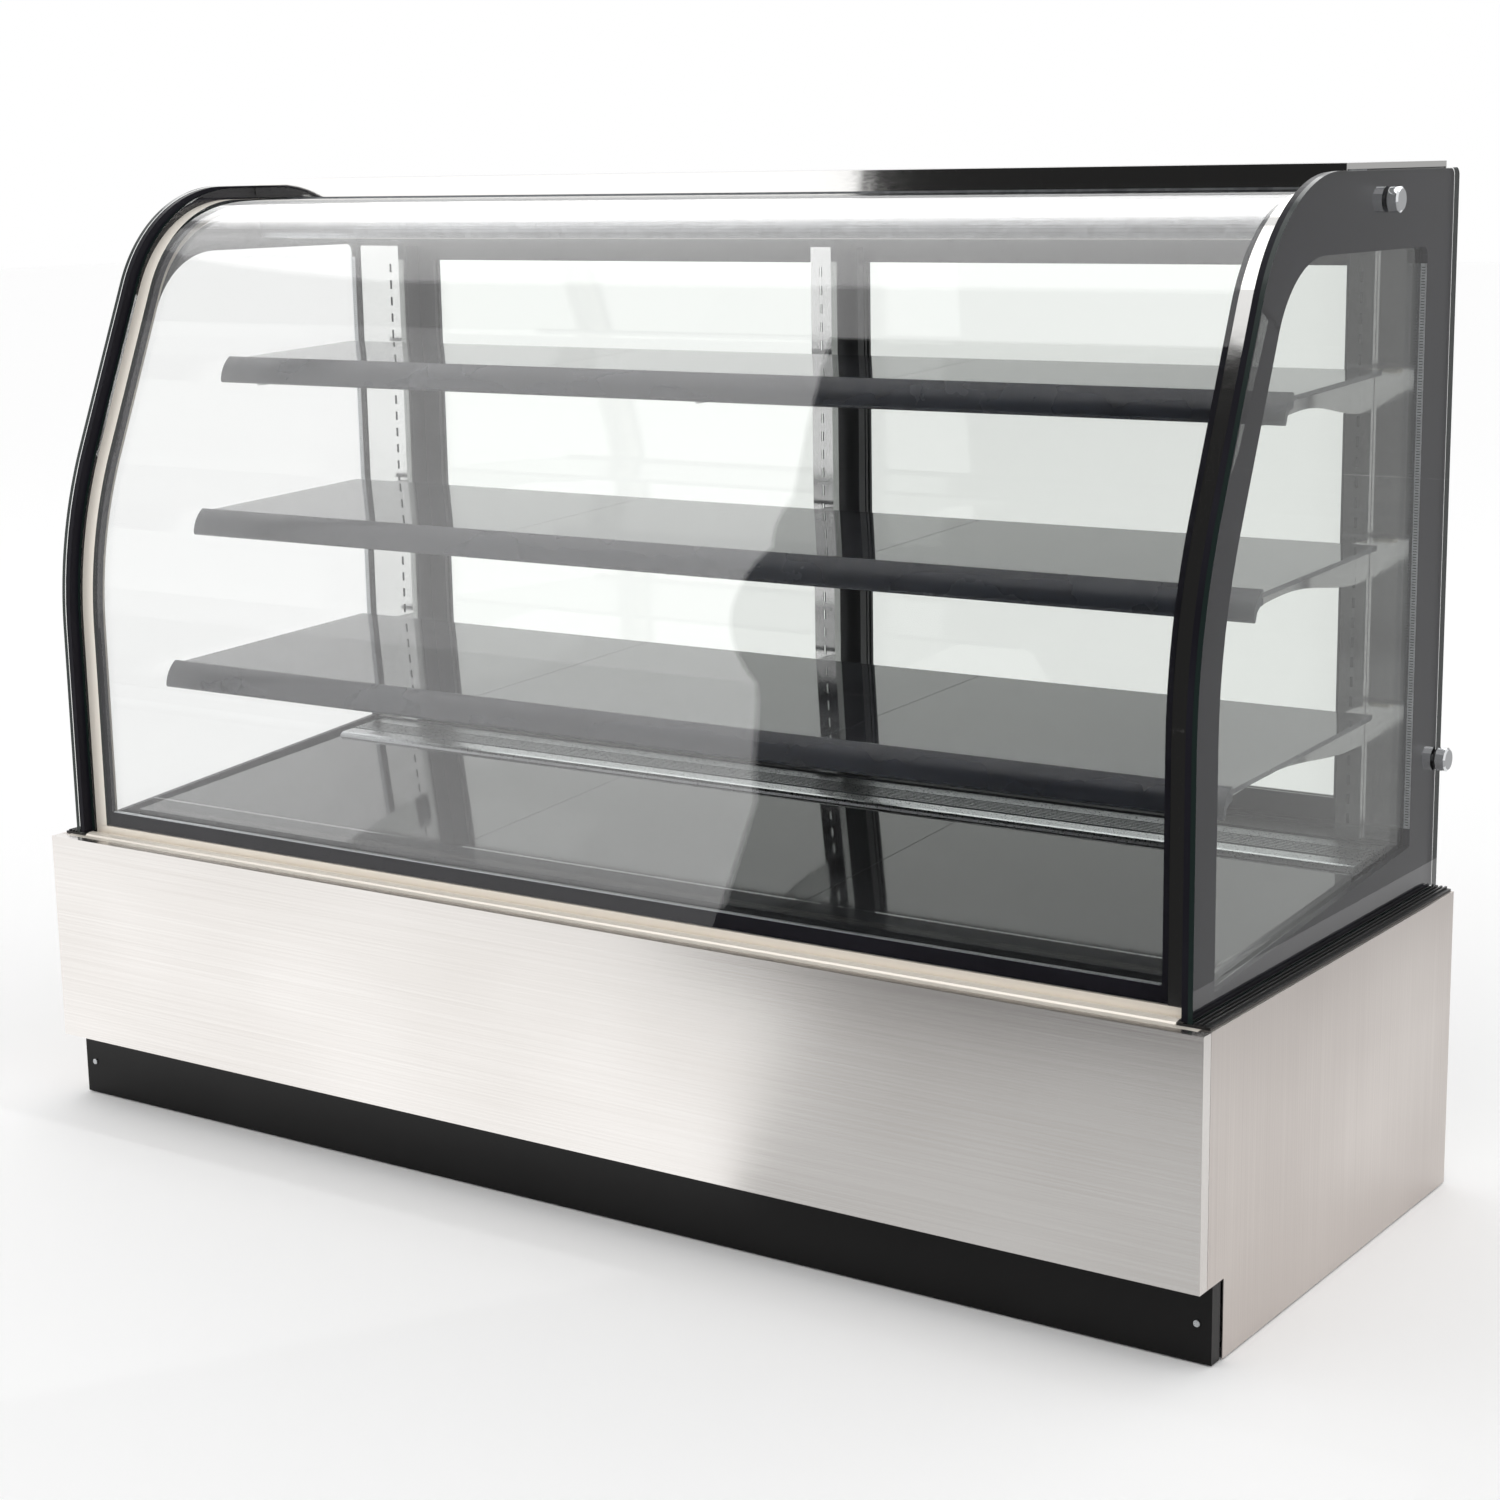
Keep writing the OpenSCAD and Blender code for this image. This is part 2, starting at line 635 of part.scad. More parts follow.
module compressor() {
    x = -half_w * 0.1;
    y = base_back - 190;
    room = tub_bottom - 22 - floor_z;
    color([0.06, 0.06, 0.065]) centred() {
        translate([x - 95, y - 60, floor_z]) cube([190, 120, 3]);
        for (dx = [-80, 80], dy = [-48, 48]) translate([x + dx, y + dy, floor_z + 2.9]) cylinder(h = 12, r = 9);
        translate([x, y, floor_z + 2.9]) cylinder(h = 14, r = 40);
        translate([x, y, floor_z + 16]) cylinder(h = room * 0.48, r = 70);
        translate([x, y, floor_z + 16 + room * 0.48]) cylinder(h = room * 0.2, r1 = 70, r2 = 42);
        translate([x + 60, y - 20, floor_z + 30]) cube([34, 40, 50]);
    }
}

module condenser_coil() {
    y1 = base_back - 14;
    color([0.30, 0.31, 0.32]) centred() {
        for (i = [0 : 28]) block(cond_x - 112 + i * 8, cond_x - 111 + i * 8, y1 - 50, y1, floor_z + 4, floor_z + 146);
        for (i = [0 : 1], j = [0 : 4])
            rod_x(y1 - 38 + i * 26, floor_z + 17 + j * 28, cond_x - 122, cond_x + 124, 4.5);
        for (x = [cond_x - 117, cond_x + 116]) block(x, x + 1.5, y1 - 54, y1 + 2, floor_z, floor_z + 150);
    }
}

module condenser_shroud() {
    y0 = base_back - 104;
    color(galv) centred() {
        difference() {
            block(cond_x - 114, cond_x + 114, y0, y0 + 34, floor_z, floor_z + 150);
            block(cond_x - 112, cond_x + 112, y0 + 2, y0 + 36, floor_z + 2, floor_z + 148);
            rod_y(cond_x, cond_z, y0 - 1, y0 + 3, fan_r + 4);
        }
        // motor on a bracket in front of the opening
        rod_y(cond_x, cond_z, y0 - 50, y0 - 14, 28);
        block(cond_x - 9, cond_x + 9, y0 - 45, y0 - 20, floor_z, cond_z);
        rod_y(cond_x, cond_z, y0 - 15, y0 + 18, 4);
    }
}

module condenser_fan() color([0.2, 0.2, 0.21]) centred() fan(cond_x, base_back - 104 + 12, cond_z);

// Copper pipes between the compressor, the two coils and the tub
module refrigerant_lines() {
    x0 = -half_w * 0.1;
    y0 = base_back - 190;
    zc = floor_z + 60;
    color(copper) centred() {
        rod_x(y0, zc, x0 + 94.5, x0 + 186, 4);
        translate([x0 + 186, y0, zc]) sphere(r = 4.6);
        translate([x0 + 186, y0, floor_z + 20]) cylinder(h = zc - floor_z - 20, r = 4);
        translate([x0 + 186, y0, floor_z + 20]) sphere(r = 4.6);
        rod_x(y0, floor_z + 20, x0 + 186, cond_x - 130, 4);
        translate([cond_x - 130, y0, floor_z + 20]) sphere(r = 4.6);
        rod_y(cond_x - 130, floor_z + 20, y0, base_back - 40, 4);
        translate([x0 - 110, y0, floor_z + 24]) cylinder(h = tub_bottom - floor_z - 26, r = 6);
        rod_x(y0, floor_z + 30, x0 - 110, x0 - 71, 6);
        translate([x0 - 150, y0 - 20, floor_z + 26]) cylinder(h = 90, r = 14);
        rod_x(y0 - 20, floor_z + 40, x0 - 150, x0 - 69.5, 4);
    }
}

module drain_pan() {
    color([0.5, 0.52, 0.54]) centred() difference() {
        block(-150, 150, 95, 260, floor_z, floor_z + 40);
        block(-148.5, 148.5, 96.5, 258.5, floor_z + 1.5, floor_z + 41);
    }
}

// ---- glass ---------------------------------------------------------------------------------

// Curved band between two distances behind the end glass's front edge
module curved_band(x0, x1, d0, d1, z0, end_y) {
    pull_x(x0, x1) polygon(concat(line_at(d0, z0, end_y), backwards(line_at(d1, z0, end_y))));
}

module front_glass() {
    z0 = sill_z + 0.5;
    color(clear) centred() {
        curved_band(-glass_half, glass_half, front_out, front_out + front_pane_t, z0, front_end_y);
        curved_band(-glass_half, glass_half, front_in - front_pane_t, front_in, z0, front_end_y);
    }
}

// Black spacer round the edge of the double front glass
module front_glass_seal() {
    z0 = sill_z + 0.5;
    d0 = front_out + front_pane_t;
    d1 = front_in - front_pane_t;
    color(black) centred() difference() {
        curved_band(-glass_half, glass_half, d0, d1, z0, front_end_y);
        block(-glass_half + 9, glass_half - 9, 0, front_end_y - 10, sill_z + 20, glass_top + 5);
    }
}

module side_trim() {
    z0 = base_h + 1.8;
    color(polished) centred() difference() {
        curved_band(glass_half + 0.2, end_in - 0.2, front_out, front_in + 8, z0, front_end_y);
        block(0, half_w, glass_front + front_out - 5, 120, 0, sill_z + 0.2);
    }
}

module left_trim() mirror([1, 0, 0]) side_trim();
module right_trim() side_trim();

// End glass outline, with a small radius at the top rear corner
module end_outline(d, low, back, top) {
    r = 10;
    polygon(concat(
        front_line(d, base_h + 3 + low, glass_top - top, r_top - top, rear_y - back - r),
        [for (a = [15 : 15 : 90]) [rear_y - back - r + r * sin(a), glass_top - top - r + r * cos(a)]],
        [[rear_y - back, base_h + 3 + low]]));
}

// Clear window inside the black border; its bottom edge follows the deck
module end_window() {
    y1 = rear_y - border_rear;
    z1 = glass_top - border_top;
    r = 0.145 * glass_h;
    z0 = base_h + 21;
    path = front_line(border_front, z0, z1, r, y1 - 12);
    polygon(concat(path,
        [for (a = [15 : 15 : 90]) [y1 - 12 + 12 * sin(a), z1 - 12 + 12 * cos(a)]],
        [[y1, z0 + (y1 - glass_front - border_front) * tan(deck_tilt + 0.8)]]));
}

module cap_holes(r) {
    for (p = cap_spots()) rod_x(p[0], p[1], 0, half_w, r);
}

function cap_spots() = [[rear_y - 217, glass_top - 34], [rear_y - 12, base_h + 0.19 * glass_h]];

module end_glass() {
    color(clear) centred() difference() {
        union() {
            pull_x(pane_in, end_out) end_outline(0, 0, 0, 0);
            pull_x(end_in, seal_in) end_outline(16, 2, 2, 4);
        }
        cap_holes(5);
    }
}

module left_end_glass() mirror([1, 0, 0]) end_glass();
module right_end_glass() end_glass();

module end_seal() {
    color(black) centred() difference() {
        pull_x(seal_in, pane_in) difference() {
            end_outline(1, 1, 1, 1);
            end_window();
        }
        cap_holes(5);
    }
}

module left_end_seal() mirror([1, 0, 0]) end_seal();
module right_end_seal() end_seal();

// Domed chrome cap screws that clamp the end glass
module fixing_caps() {
    color(polished) centred() for (s = [-1, 1]) mirrored(s)
        for (p = cap_spots()) translate([0, p[0], p[1]]) rotate([0, 90, 0]) {
            translate([0, 0, end_in - 11]) cylinder(h = end_out - end_in + 14.5, r = 4.8);
            translate([0, 0, end_out + 3]) cylinder(h = 11, r = 15);
            translate([0, 0, end_out + 14]) cylinder(h = 2, r1 = 15, r2 = 12.5);
        }
}

module cap_gaskets() {
    color(black) centred() for (s = [-1, 1]) mirrored(s)
        for (p = cap_spots()) translate([end_out, p[0], p[1]]) rotate([0, 90, 0])
            difference() {
                cylinder(h = 3, r = 13);
                translate([0, 0, -1]) cylinder(h = 5, r = 5);
            }
}

// ---- roof, lamp and rear -------------------------------------------------------------------

module top_panel() {
    y0 = front_end_y - 6;
    color(polished) centred() {
        block(-end_in + 1, end_in - 1, y0, case_d, case_h - 2, case_h);
        for (s = [-1, 1]) mirrored(s)
            block(end_in - 3, end_in - 1, y0, case_d, glass_top + 1, case_h - 1);
        block(-end_in + 1, end_in - 1, y0, y0 + 2, case_h - fascia_drop, case_h - 1);
        block(-end_in + 1, end_in - 1, case_d - 2, case_d, case_h - 14, case_h - 1);
    }
}

module lamp_housing() {
    y0 = front_end_y + 0.4;
    z1 = glass_top + 0.7;
    color(galv) centred() pull_x(-end_in + 1, end_in - 1) difference() {
        polygon([[y0, z1], [y0 + lamp_d, z1], [y0 + lamp_d, lamp_z + 16], [y0 + lamp_d - 18, lamp_z],
            [y0 + 6, lamp_z], [y0, lamp_z + 8]]);
        polygon([[y0 + 14, lamp_z - 1], [y0 + lamp_d - 19, lamp_z - 1],
            [y0 + lamp_d - 19, lamp_z + 7], [y0 + 14, lamp_z + 7]]);
    }
}

module lamp_lens() {
    y0 = front_end_y + 0.4;
    color([0.97, 0.97, 0.92]) centred()
        block(-glass_half + 20, glass_half - 20, y0 + 14.3, y0 + lamp_d - 19.3, lamp_z - 1, lamp_z + 6.7);
}

// Black rear frame: kerb with door tracks, jambs and header
module rear_frame() {
    rib = 1.4;
    x1 = end_in - 1;
    door_x = door_half + 2;
    color(black) centred() difference() {
        union() {
            block(-x1, x1, header_y, rear_y, tub_top + 0.2, kerb_top);
            for (y = [inner_plane - door_gap - rib, inner_plane + door_t + door_gap, rear_y - rib])
                block(-x1, x1, y, y + rib, kerb_top - 1, track_z + 5);
            for (s = [-1, 1]) mirrored(s) {
                block(door_x, x1, header_y + 15, rear_y, kerb_top - 1, door_top + 10);
                block(post_x - post_w / 2 - 3, x1, header_y + 15, inner_plane - 3, kerb_top - 1, door_top + 10);
            }
            block(-x1, x1, header_y, inner_plane - door_gap, post_top, glass_top + 0.7);
            block(-x1, x1, header_y, rear_y, door_top + 4, glass_top + 0.7);
            // rails that run forward and carry the roof
            for (s = [-1, 1]) mirrored(s)
                block(x1 - 13, x1, front_end_y + lamp_d + 1, header_y + 1, glass_top - 57, glass_top + 0.7);
            for (y = [inner_plane + door_t + door_gap, rear_y - rib])
                block(-x1, x1, y, y + rib, door_top - 8, door_top + 5);
        }
        for (p = cap_spots()) for (s = [-1, 1]) mirrored(s)
            rod_x(p[0], p[1], end_in - 16, half_w, 5);
        // the kerb, header and jambs are hollow extrusions
        block(-x1 - 1, x1 + 1, header_y + tube_wall, rear_y - tube_wall,
            tub_top + 0.2 + tube_wall, kerb_top - tube_wall);
        block(-x1 - 1, x1 + 1, header_y + tube_wall, rear_y - tube_wall,
            door_top + 4 + tube_wall, glass_top + 0.7 - tube_wall);
        for (s = [-1, 1]) mirrored(s)
            block(door_x + tube_wall, x1 - tube_wall, header_y + 15 + tube_wall, rear_y - tube_wall,
                kerb_top + tube_wall, door_top + 2);
    }
}

// Slotted shelf posts, with a plain cover strip beside each outer one
module shelf_posts() {
    color(polished) centred() {
        for (x = [-post_x, 0, post_x]) difference() {
            block(x - post_w / 2, x + post_w / 2, header_y, header_y + 14.5, kerb_top + 0.5, post_top - 0.5);
            block(x - post_w / 2 + 1.5, x + post_w / 2 - 1.5, header_y + 1.5, header_y + 15,
                kerb_top + 3, post_top - 3);
            for (z = [slot_z0 : slot_pitch : post_top - 20])
                block(x - 2, x + 2, header_y - 1, header_y + 2, z, z + 13);
        }
        for (s = [-1, 1]) mirrored(s)
            block(post_x + post_w / 2 + 0.5, end_in - 1.5, header_y + 8, header_y + 14.5,
                kerb_top + 0.5, post_top - 0.5);
    }
}

// Door frame with a finger pull in its outer stile
module door_frame(x0, x1, y0, pull_side) {
    z0 = track_z;
    z1 = door_top;
    difference() {
        block(x0, x1, y0, y0 + door_t, z0, z1);
        block(x0 + stile_w, x1 - stile_w, y0 - 1, y0 + door_t + 1, z0 + rail_h, z1 - rail_h);
        // groove for the glass
        block(x0 + stile_w - 9, x1 - stile_w + 9, y0 + door_t / 2 - 2.7, y0 + door_t / 2 + 2.7,
            z0 + rail_h - 9, z1 - rail_h + 9);
        pull_x0 = pull_side < 0 ? x0 + 14 : x1 - 36;
        block(pull_x0, pull_x0 + 22, y0 + door_t - 8, y0 + door_t + 1, base_h + 0.38 * glass_h,
            base_h + 0.58 * glass_h);
    }
}

module door_pane(x0, x1, y0) {
    block(x0 + stile_w - 8.5, x1 - stile_w + 8.5, y0 + door_t / 2 - 2.5, y0 + door_t / 2 + 2.5,
        track_z + rail_h - 8.5, door_top - rail_h + 8.5);
}

module left_door_frame() color(black) centred() door_frame(-door_half, lap, inner_plane, -1);
module left_door_glass() color(clear) centred() door_pane(-door_half, lap, inner_plane);
module right_door_frame() color(black) centred() door_frame(-lap, door_half, outer_plane, 1);
module right_door_glass() color(clear) centred() door_pane(-lap, door_half, outer_plane);

// ---- shelves -------------------------------------------------------------------------------

module shelf_panels(i) {
    w = 2 * shelf_half * seam_share;
    edges = [-shelf_half, -w / 2, w / 2, shelf_half];
    y0 = shelf_front(i) + nose_slot + glass_gap;
    color(clear) centred()
        for (k = [0 : 2])
            sloped(edges[k] + 0.5, edges[k + 1] - 0.5, y0, shelf_back, shelf_at(i, y0), shelf_tilt, shelf_t);
}

module shelf_glass_low() shelf_panels(0);
module shelf_glass_mid() shelf_panels(1);
module shelf_glass_top() shelf_panels(2);

// Rail along each shelf's front edge: a bulged face leaning out to a lip at its foot
module nosing(i) {
    y = shelf_front(i);
    z = shelf_at(i, y + nose_slot);
    end = nose_depth + 6;
    rise = (end - nose_slot) * tan(shelf_tilt);
    slot_low = z - shelf_t - slot_play;
    slot_high = z + slot_play;
    pull_x(-shelf_half, shelf_half) difference() {
        polygon(concat(
            arc(y + nose_cy, z - nose_cz, nose_r, 6.5, 56.7),
            [[y + nose_depth, z + 4], [y + nose_depth, z - 14], [y + 16, z - 15],
             [y + 9, z - 20], [y + 5, z - 30], [y + 3, z - 32], [y + 1, z - 31]]));
        polygon([[y + nose_slot, slot_low], [y + end, slot_low + rise],
            [y + end, slot_high + rise], [y + nose_slot, slot_high]]);
    }
}

module shelf_nosings() color(charcoal) centred() for (i = [0 : 2]) nosing(i);

// Arm with a wavy lower edge, hooked into the slots of its post
module arm(i, x) {
    y0 = shelf_front(i) + 26;
    y1 = header_y;
    z0 = shelf_at(i, y0) - shelf_t - 0.2;
    z1 = shelf_at(i, y1) - shelf_t - 0.2;
    n = 14;
    wave = [for (k = [0 : n]) let (u = k / n)
        [y1 - u * (y1 - y0), z1 + u * (z0 - z1) - 46 + 22 * u - 7 * cos(u * 360)]];
    pull_x(x - 1.8, x + 1.8) polygon(concat([[y0, z0], [y1, z1]], wave));
    slot = floor((z1 - 12 - slot_z0) / slot_pitch);
    for (z = [slot_z0 + slot * slot_pitch, slot_z0 + (slot - 1) * slot_pitch])
        if (z > z1 - 50) block(x - 1.8, x + 1.8, y1 - 1, y1 + 5, z + 1.5, z + 11.5);
}

module shelf_brackets() {
    color(polished) centred()
        for (i = [0 : 2], x = [-post_x, 0, post_x]) arm(i, x);
}

module bracket_bumpers() {
    color([0.86, 0.84, 0.74]) centred()
        for (i = [0 : 2], s = [-1, 1], y = [shelf_back - 22]) mirrored(s)
            block(post_x + 1.8, post_x + 22, y, y + 14, shelf_at(i, y) - shelf_t - 5, shelf_at(i, y) - shelf_t - 0.2);
}

// ---- what is drawn -------------------------------------------------------------------------
base_frame();
levelling_feet();
front_panel();
left_side_panel();
right_side_panel();
kick_plate();
panel_screws();
service_panel();
control_panel();
controller_body();
set_button();
up_button();
down_button();
light_switch();
power_switch();
power_inlet();
front_sill();
ledge_strips();
insulated_tub();
tub_liner();
well_cover();
deck_pans();
air_grille();
guard_glass();
evaporator_coil();
evaporator_fan_panel();
evaporator_fan_left();
evaporator_fan_right();
compressor();
condenser_coil();
condenser_shroud();
condenser_fan();
refrigerant_lines();
drain_pan();
front_glass();
front_glass_seal();
left_trim();
right_trim();
left_end_glass();
right_end_glass();
left_end_seal();
right_end_seal();
fixing_caps();
cap_gaskets();
top_panel();
lamp_housing();
lamp_lens();
rear_frame();
shelf_posts();
left_door_frame();
left_door_glass();
right_door_frame();
right_door_glass();
shelf_glass_low();
shelf_glass_mid();
shelf_glass_top();
shelf_nosings();
shelf_brackets();
bracket_bumpers();
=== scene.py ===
# %% [markdown]
# # A refrigerated glass showcase
# The counter case has a stainless base, a curved double-glazed front, two flat double-glazed
# ends, three dark glass shelves on slotted posts and two sliding doors at the back. The
# mechanical model brings every plain part. This lesson gives each part its finish, and rebuilds
# the parts whose curves have to be smooth, because a mirror or a pane shows every facet.

# %% Load the frame
import math

import bmesh
import bpy
from mathutils import Matrix, Vector


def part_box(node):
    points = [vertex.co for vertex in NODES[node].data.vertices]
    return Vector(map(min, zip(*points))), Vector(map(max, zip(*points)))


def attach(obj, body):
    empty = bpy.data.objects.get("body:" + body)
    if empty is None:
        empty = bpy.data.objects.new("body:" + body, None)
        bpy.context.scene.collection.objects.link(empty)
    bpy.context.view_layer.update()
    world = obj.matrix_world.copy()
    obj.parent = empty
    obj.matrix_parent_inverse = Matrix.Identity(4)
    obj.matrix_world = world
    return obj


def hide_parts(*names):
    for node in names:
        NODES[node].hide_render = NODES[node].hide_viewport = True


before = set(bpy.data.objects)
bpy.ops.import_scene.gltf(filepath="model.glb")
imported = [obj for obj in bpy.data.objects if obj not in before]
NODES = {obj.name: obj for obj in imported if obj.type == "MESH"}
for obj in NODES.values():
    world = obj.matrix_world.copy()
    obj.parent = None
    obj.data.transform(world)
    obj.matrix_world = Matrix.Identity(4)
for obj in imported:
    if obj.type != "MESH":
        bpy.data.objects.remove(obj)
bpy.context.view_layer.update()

# %% [markdown]
# ## Units and the shared side profile
# The case is drawn in millimetres from the front panel backwards, the way a glazier would, and
# moved to the frame's centre in metres. The curved front follows one rule: an upright stretch,
# a wide arc, a leaning straight and a tight arc into a flat top. Every curved piece is an offset
# of that line, so one function draws them all. The arcs are shares of the glass height, so the
# curve keeps its proportions, and the front panes lie FRONT_OUT to FRONT_IN behind the line.

# %% Sizes in millimetres
MM = 0.001
DEPTH = 730.0
BASE_TOP = 391.0
GLASS_TOP = 1292.0
GLASS_H = GLASS_TOP - BASE_TOP
GLASS_FRONT = 25.0
LEAN = math.radians(23.0)
LOW_ARC_Z = BASE_TOP + 0.331 * GLASS_H
LOW_ARC_R = 0.71 * GLASS_H
TOP_ARC_R = 0.238 * GLASS_H
FRONT_OUT = 20.0
FRONT_IN = 34.0
FRONT_PANE = 4.0
SILL_Z = 404.0
ARC_STEP = math.radians(0.75)


def row_y(y):
    """A distance behind the front panel, in millimetres, as the frame's y in metres."""
    return (y - DEPTH / 2) * MM


def arc(centre_y, centre_z, radius, start, end):
    """Points of an arc that starts upright, at the front, and turns back over the top."""
    count = max(2, math.ceil((end - start) / ARC_STEP))
    angles = [start + (end - start) * i / count for i in range(count + 1)]
    return [(centre_y - radius * math.cos(a), centre_z + radius * math.sin(a)) for a in angles]


def front_line(inset, bottom, end_y, top=None, top_r=None):
    """The side profile, moved inwards by inset: a list of (y, z) from the foot to the top."""
    top = GLASS_TOP - inset if top is None else top
    top_r = TOP_ARC_R - inset if top_r is None else top_r
    low_r = LOW_ARC_R - inset
    low_y = GLASS_FRONT + LOW_ARC_R - low_r * math.cos(LEAN)
    low_z = LOW_ARC_Z + low_r * math.sin(LEAN)
    top_y = low_y + (top_r + (top - top_r - low_z) * math.sin(LEAN)) / math.cos(LEAN)
    line = [(GLASS_FRONT + inset, bottom)]
    line += arc(GLASS_FRONT + LOW_ARC_R, LOW_ARC_Z, low_r, 0.0, LEAN)
    line += arc(top_y, top - top_r, top_r, LEAN, math.pi / 2)
    return line + [(end_y, top)]


GLASS_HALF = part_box("front_glass")[1].x / MM
ROOF_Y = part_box("front_glass")[1].y / MM + DEPTH / 2
END_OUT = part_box("right_end_glass")[1].x / MM
END_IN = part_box("right_end_glass")[0].x / MM
REAR_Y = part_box("right_end_glass")[1].y / MM + DEPTH / 2
print("front glass half width", round(GLASS_HALF, 1), "roof starts at", round(ROOF_Y, 1))

# %% [markdown]
# ## The camera
# It stands at the customer's right, a little above the top of the case, with a short telephoto
# lens, so that the long front falls away gently to the left.

# %% Camera
CAMERA_AT = Vector((2.1635, -3.0026, 1.3125))
CAMERA_YAW = math.radians(-35.010)
CAMERA_PITCH = math.radians(-11.749)
CAMERA_ROLL = math.radians(-0.996)
CAMERA_LENS = 67.83
SENSOR_WIDTH = 36.0
FARTHEST = 200.0


def camera_matrix(stand, yaw, pitch, roll):
    """Where the camera stands and how it is turned: yaw about Z, then pitch, then roll."""
    ahead = Vector(
        (math.sin(yaw) * math.cos(pitch), math.cos(yaw) * math.cos(pitch), math.sin(pitch))
    )
    level = Vector((math.cos(yaw), -math.sin(yaw), 0.0))
    upward = level.cross(ahead)
    right = math.cos(roll) * level + math.sin(roll) * upward
    up = -math.sin(roll) * level + math.cos(roll) * upward
    turn = Matrix((right, up, -ahead)).transposed()
    return Matrix.Translation(stand) @ turn.to_4x4()


def linked(name, data):
    """A new object in the scene that shows this data."""
    made = bpy.data.objects.new(name, data)
    bpy.context.collection.objects.link(made)
    return made


camera = linked("camera", bpy.data.cameras.new("camera"))
camera.data.lens = CAMERA_LENS
camera.data.sensor_width = SENSOR_WIDTH
camera.data.clip_end = FARTHEST
camera.matrix_world = camera_matrix(CAMERA_AT, CAMERA_YAW, CAMERA_PITCH, CAMERA_ROLL)
bpy.context.scene.camera = camera
print("camera", tuple(round(v, 3) for v in camera.location))

# %% [markdown]
# ## A small kit for materials
# One function turns a printed sRGB colour into the linear numbers a shader wants, one adds a
# node with its settings and links, and one starts a material with a Principled shader. The
# others lay a noise pattern in metres, tint it, stretch it and press it into the surface.


# %% Material helpers
def hex_colour(text):
    """An sRGB hex colour as linear red, green, blue and alpha."""
    parts = [int(text[i : i + 2], 16) / 255 for i in (1, 3, 5)]
    linear = [c / 12.92 if c <= 0.04045 else ((c + 0.055) / 1.055) ** 2.4 for c in parts]
    return (*linear, 1.0)


def add(tree, kind, inputs=None, **settings):
    """A new node. inputs maps a socket's name or number to a value or to another socket."""
    made = tree.nodes.new(kind)
    for name, value in settings.items():
        setattr(made, name, value)
    for key, value in (inputs or {}).items():
        if isinstance(value, bpy.types.NodeSocket):
            tree.links.new(value, made.inputs[key])
        else:
            made.inputs[key].default_value = value
    return made


def blank(name):
    """An empty material, its node tree and its output node."""
    mat = bpy.data.materials.new(name)
    mat.use_nodes = True
    tree = mat.node_tree
    tree.nodes.clear()
    return mat, tree, add(tree, "ShaderNodeOutputMaterial")


def start(name, shader=None):
    """A material with its output and one Principled shader with those plain settings."""
    mat, tree, out = blank(name)
    main = add(tree, "ShaderNodeBsdfPrincipled", shader)
    tree.links.new(main.outputs[0], out.inputs[0])
    return mat, tree, main


def place(tree, scale):
    """Object coordinates in metres, stretched by a scale on each axis."""
    spot = add(tree, "ShaderNodeTexCoord")
    return add(
        tree, "ShaderNodeMapping", {"Vector": spot.outputs["Object"], "Scale": scale}
    ).outputs[0]


def noise(tree, scale, detail=2.0):
    """A noise factor laid out in metres, with a scale for each axis."""
    return add(
        tree, "ShaderNodeTexNoise", {"Vector": place(tree, scale), "Scale": 1.0, "Detail": detail}
    ).outputs[0]


def ramp(tree, factor, low, high, dark, light):
    """A colour ramp between two hex colours, with its stops at low and high."""
    made = add(tree, "ShaderNodeValToRGB", {"Fac": factor})
    made.color_ramp.elements[0].position = low
    made.color_ramp.elements[0].color = hex_colour(dark)
    made.color_ramp.elements[1].position = high
    made.color_ramp.elements[1].color = hex_colour(light)
    return made.outputs[0]


def spread(tree, factor, low, high):
    """A 0 to 1 factor stretched to run from low to high."""
    return add(
        tree, "ShaderNodeMapRange", {"Value": factor, "To Min": low, "To Max": high}
    ).outputs[0]


def press(tree, main, height, strength, distance):
    """Presses a height pattern into the surface's shading, distance in metres."""
    bump = add(
        tree, "ShaderNodeBump", {"Strength": strength, "Distance": distance, "Height": height}
    )
    tree.links.new(bump.outputs[0], main.inputs["Normal"])


print("mid grey #808080 is", round(hex_colour("#808080")[0], 3), "in linear light")

# %% [markdown]
# ## Brushed stainless panels
# The base is clad in sheet with a number 4 finish: belts of 150 grit draw fine lines along the
# length of the sheet. The lines are really about 0.1 mm apart. They are drawn 1.5 mm apart and
# 400 mm long, coarse enough to show, and they vary the roughness and the tint a little. Broad
# clouds over them keep a long panel from looking printed.


# %% Brushed stainless
LINE_GAP = 1.5
LINE_LENGTH = 400.0
CLOUDS = (2.2, 2.2, 3.5)
CLOUD_SHARE = 0.55


def brushed_steel(name, along, dark, light, rough):
    """Sheet steel with belt lines along one axis: 0 for X, 1 for Y, 2 for Z."""
    mat, tree, main = start(name, {"Metallic": 1.0})
    fine = [1 / (LINE_GAP * MM)] * 3
    fine[along] = 1 / (LINE_LENGTH * MM)
    lines = noise(tree, fine, 4.0)
    clouds = noise(tree, CLOUDS)
    both = add(
        tree, "ShaderNodeMix", {0: CLOUD_SHARE, 2: lines, 3: clouds}, data_type="FLOAT"
    ).outputs[0]
    tree.links.new(ramp(tree, both, 0.35, 0.65, dark, light), main.inputs["Base Color"])
    tree.links.new(spread(tree, lines, rough - 0.05, rough + 0.07), main.inputs["Roughness"])
    press(tree, main, lines, 0.06, 0.0004)
    return mat


panel_steel = brushed_steel("brushed_stainless_no4", 0, "#d4d0cc", "#e2dfdc", 0.23)
# The side and rear sheets are darker copies of the front steel: painted shade.
side_steel_painted_shade = brushed_steel("brushed_stainless_no4_upright_painted_shade", 2, "#c2bab5", "#d6cfca", 0.30)
rear_steel_painted_shade = brushed_steel("brushed_stainless_no4_rear_painted_shade", 0, "#b9b5b0", "#cfcbc6", 0.34)
print("steel finishes:", panel_steel.name, side_steel_painted_shade.name, rear_steel_painted_shade.name)
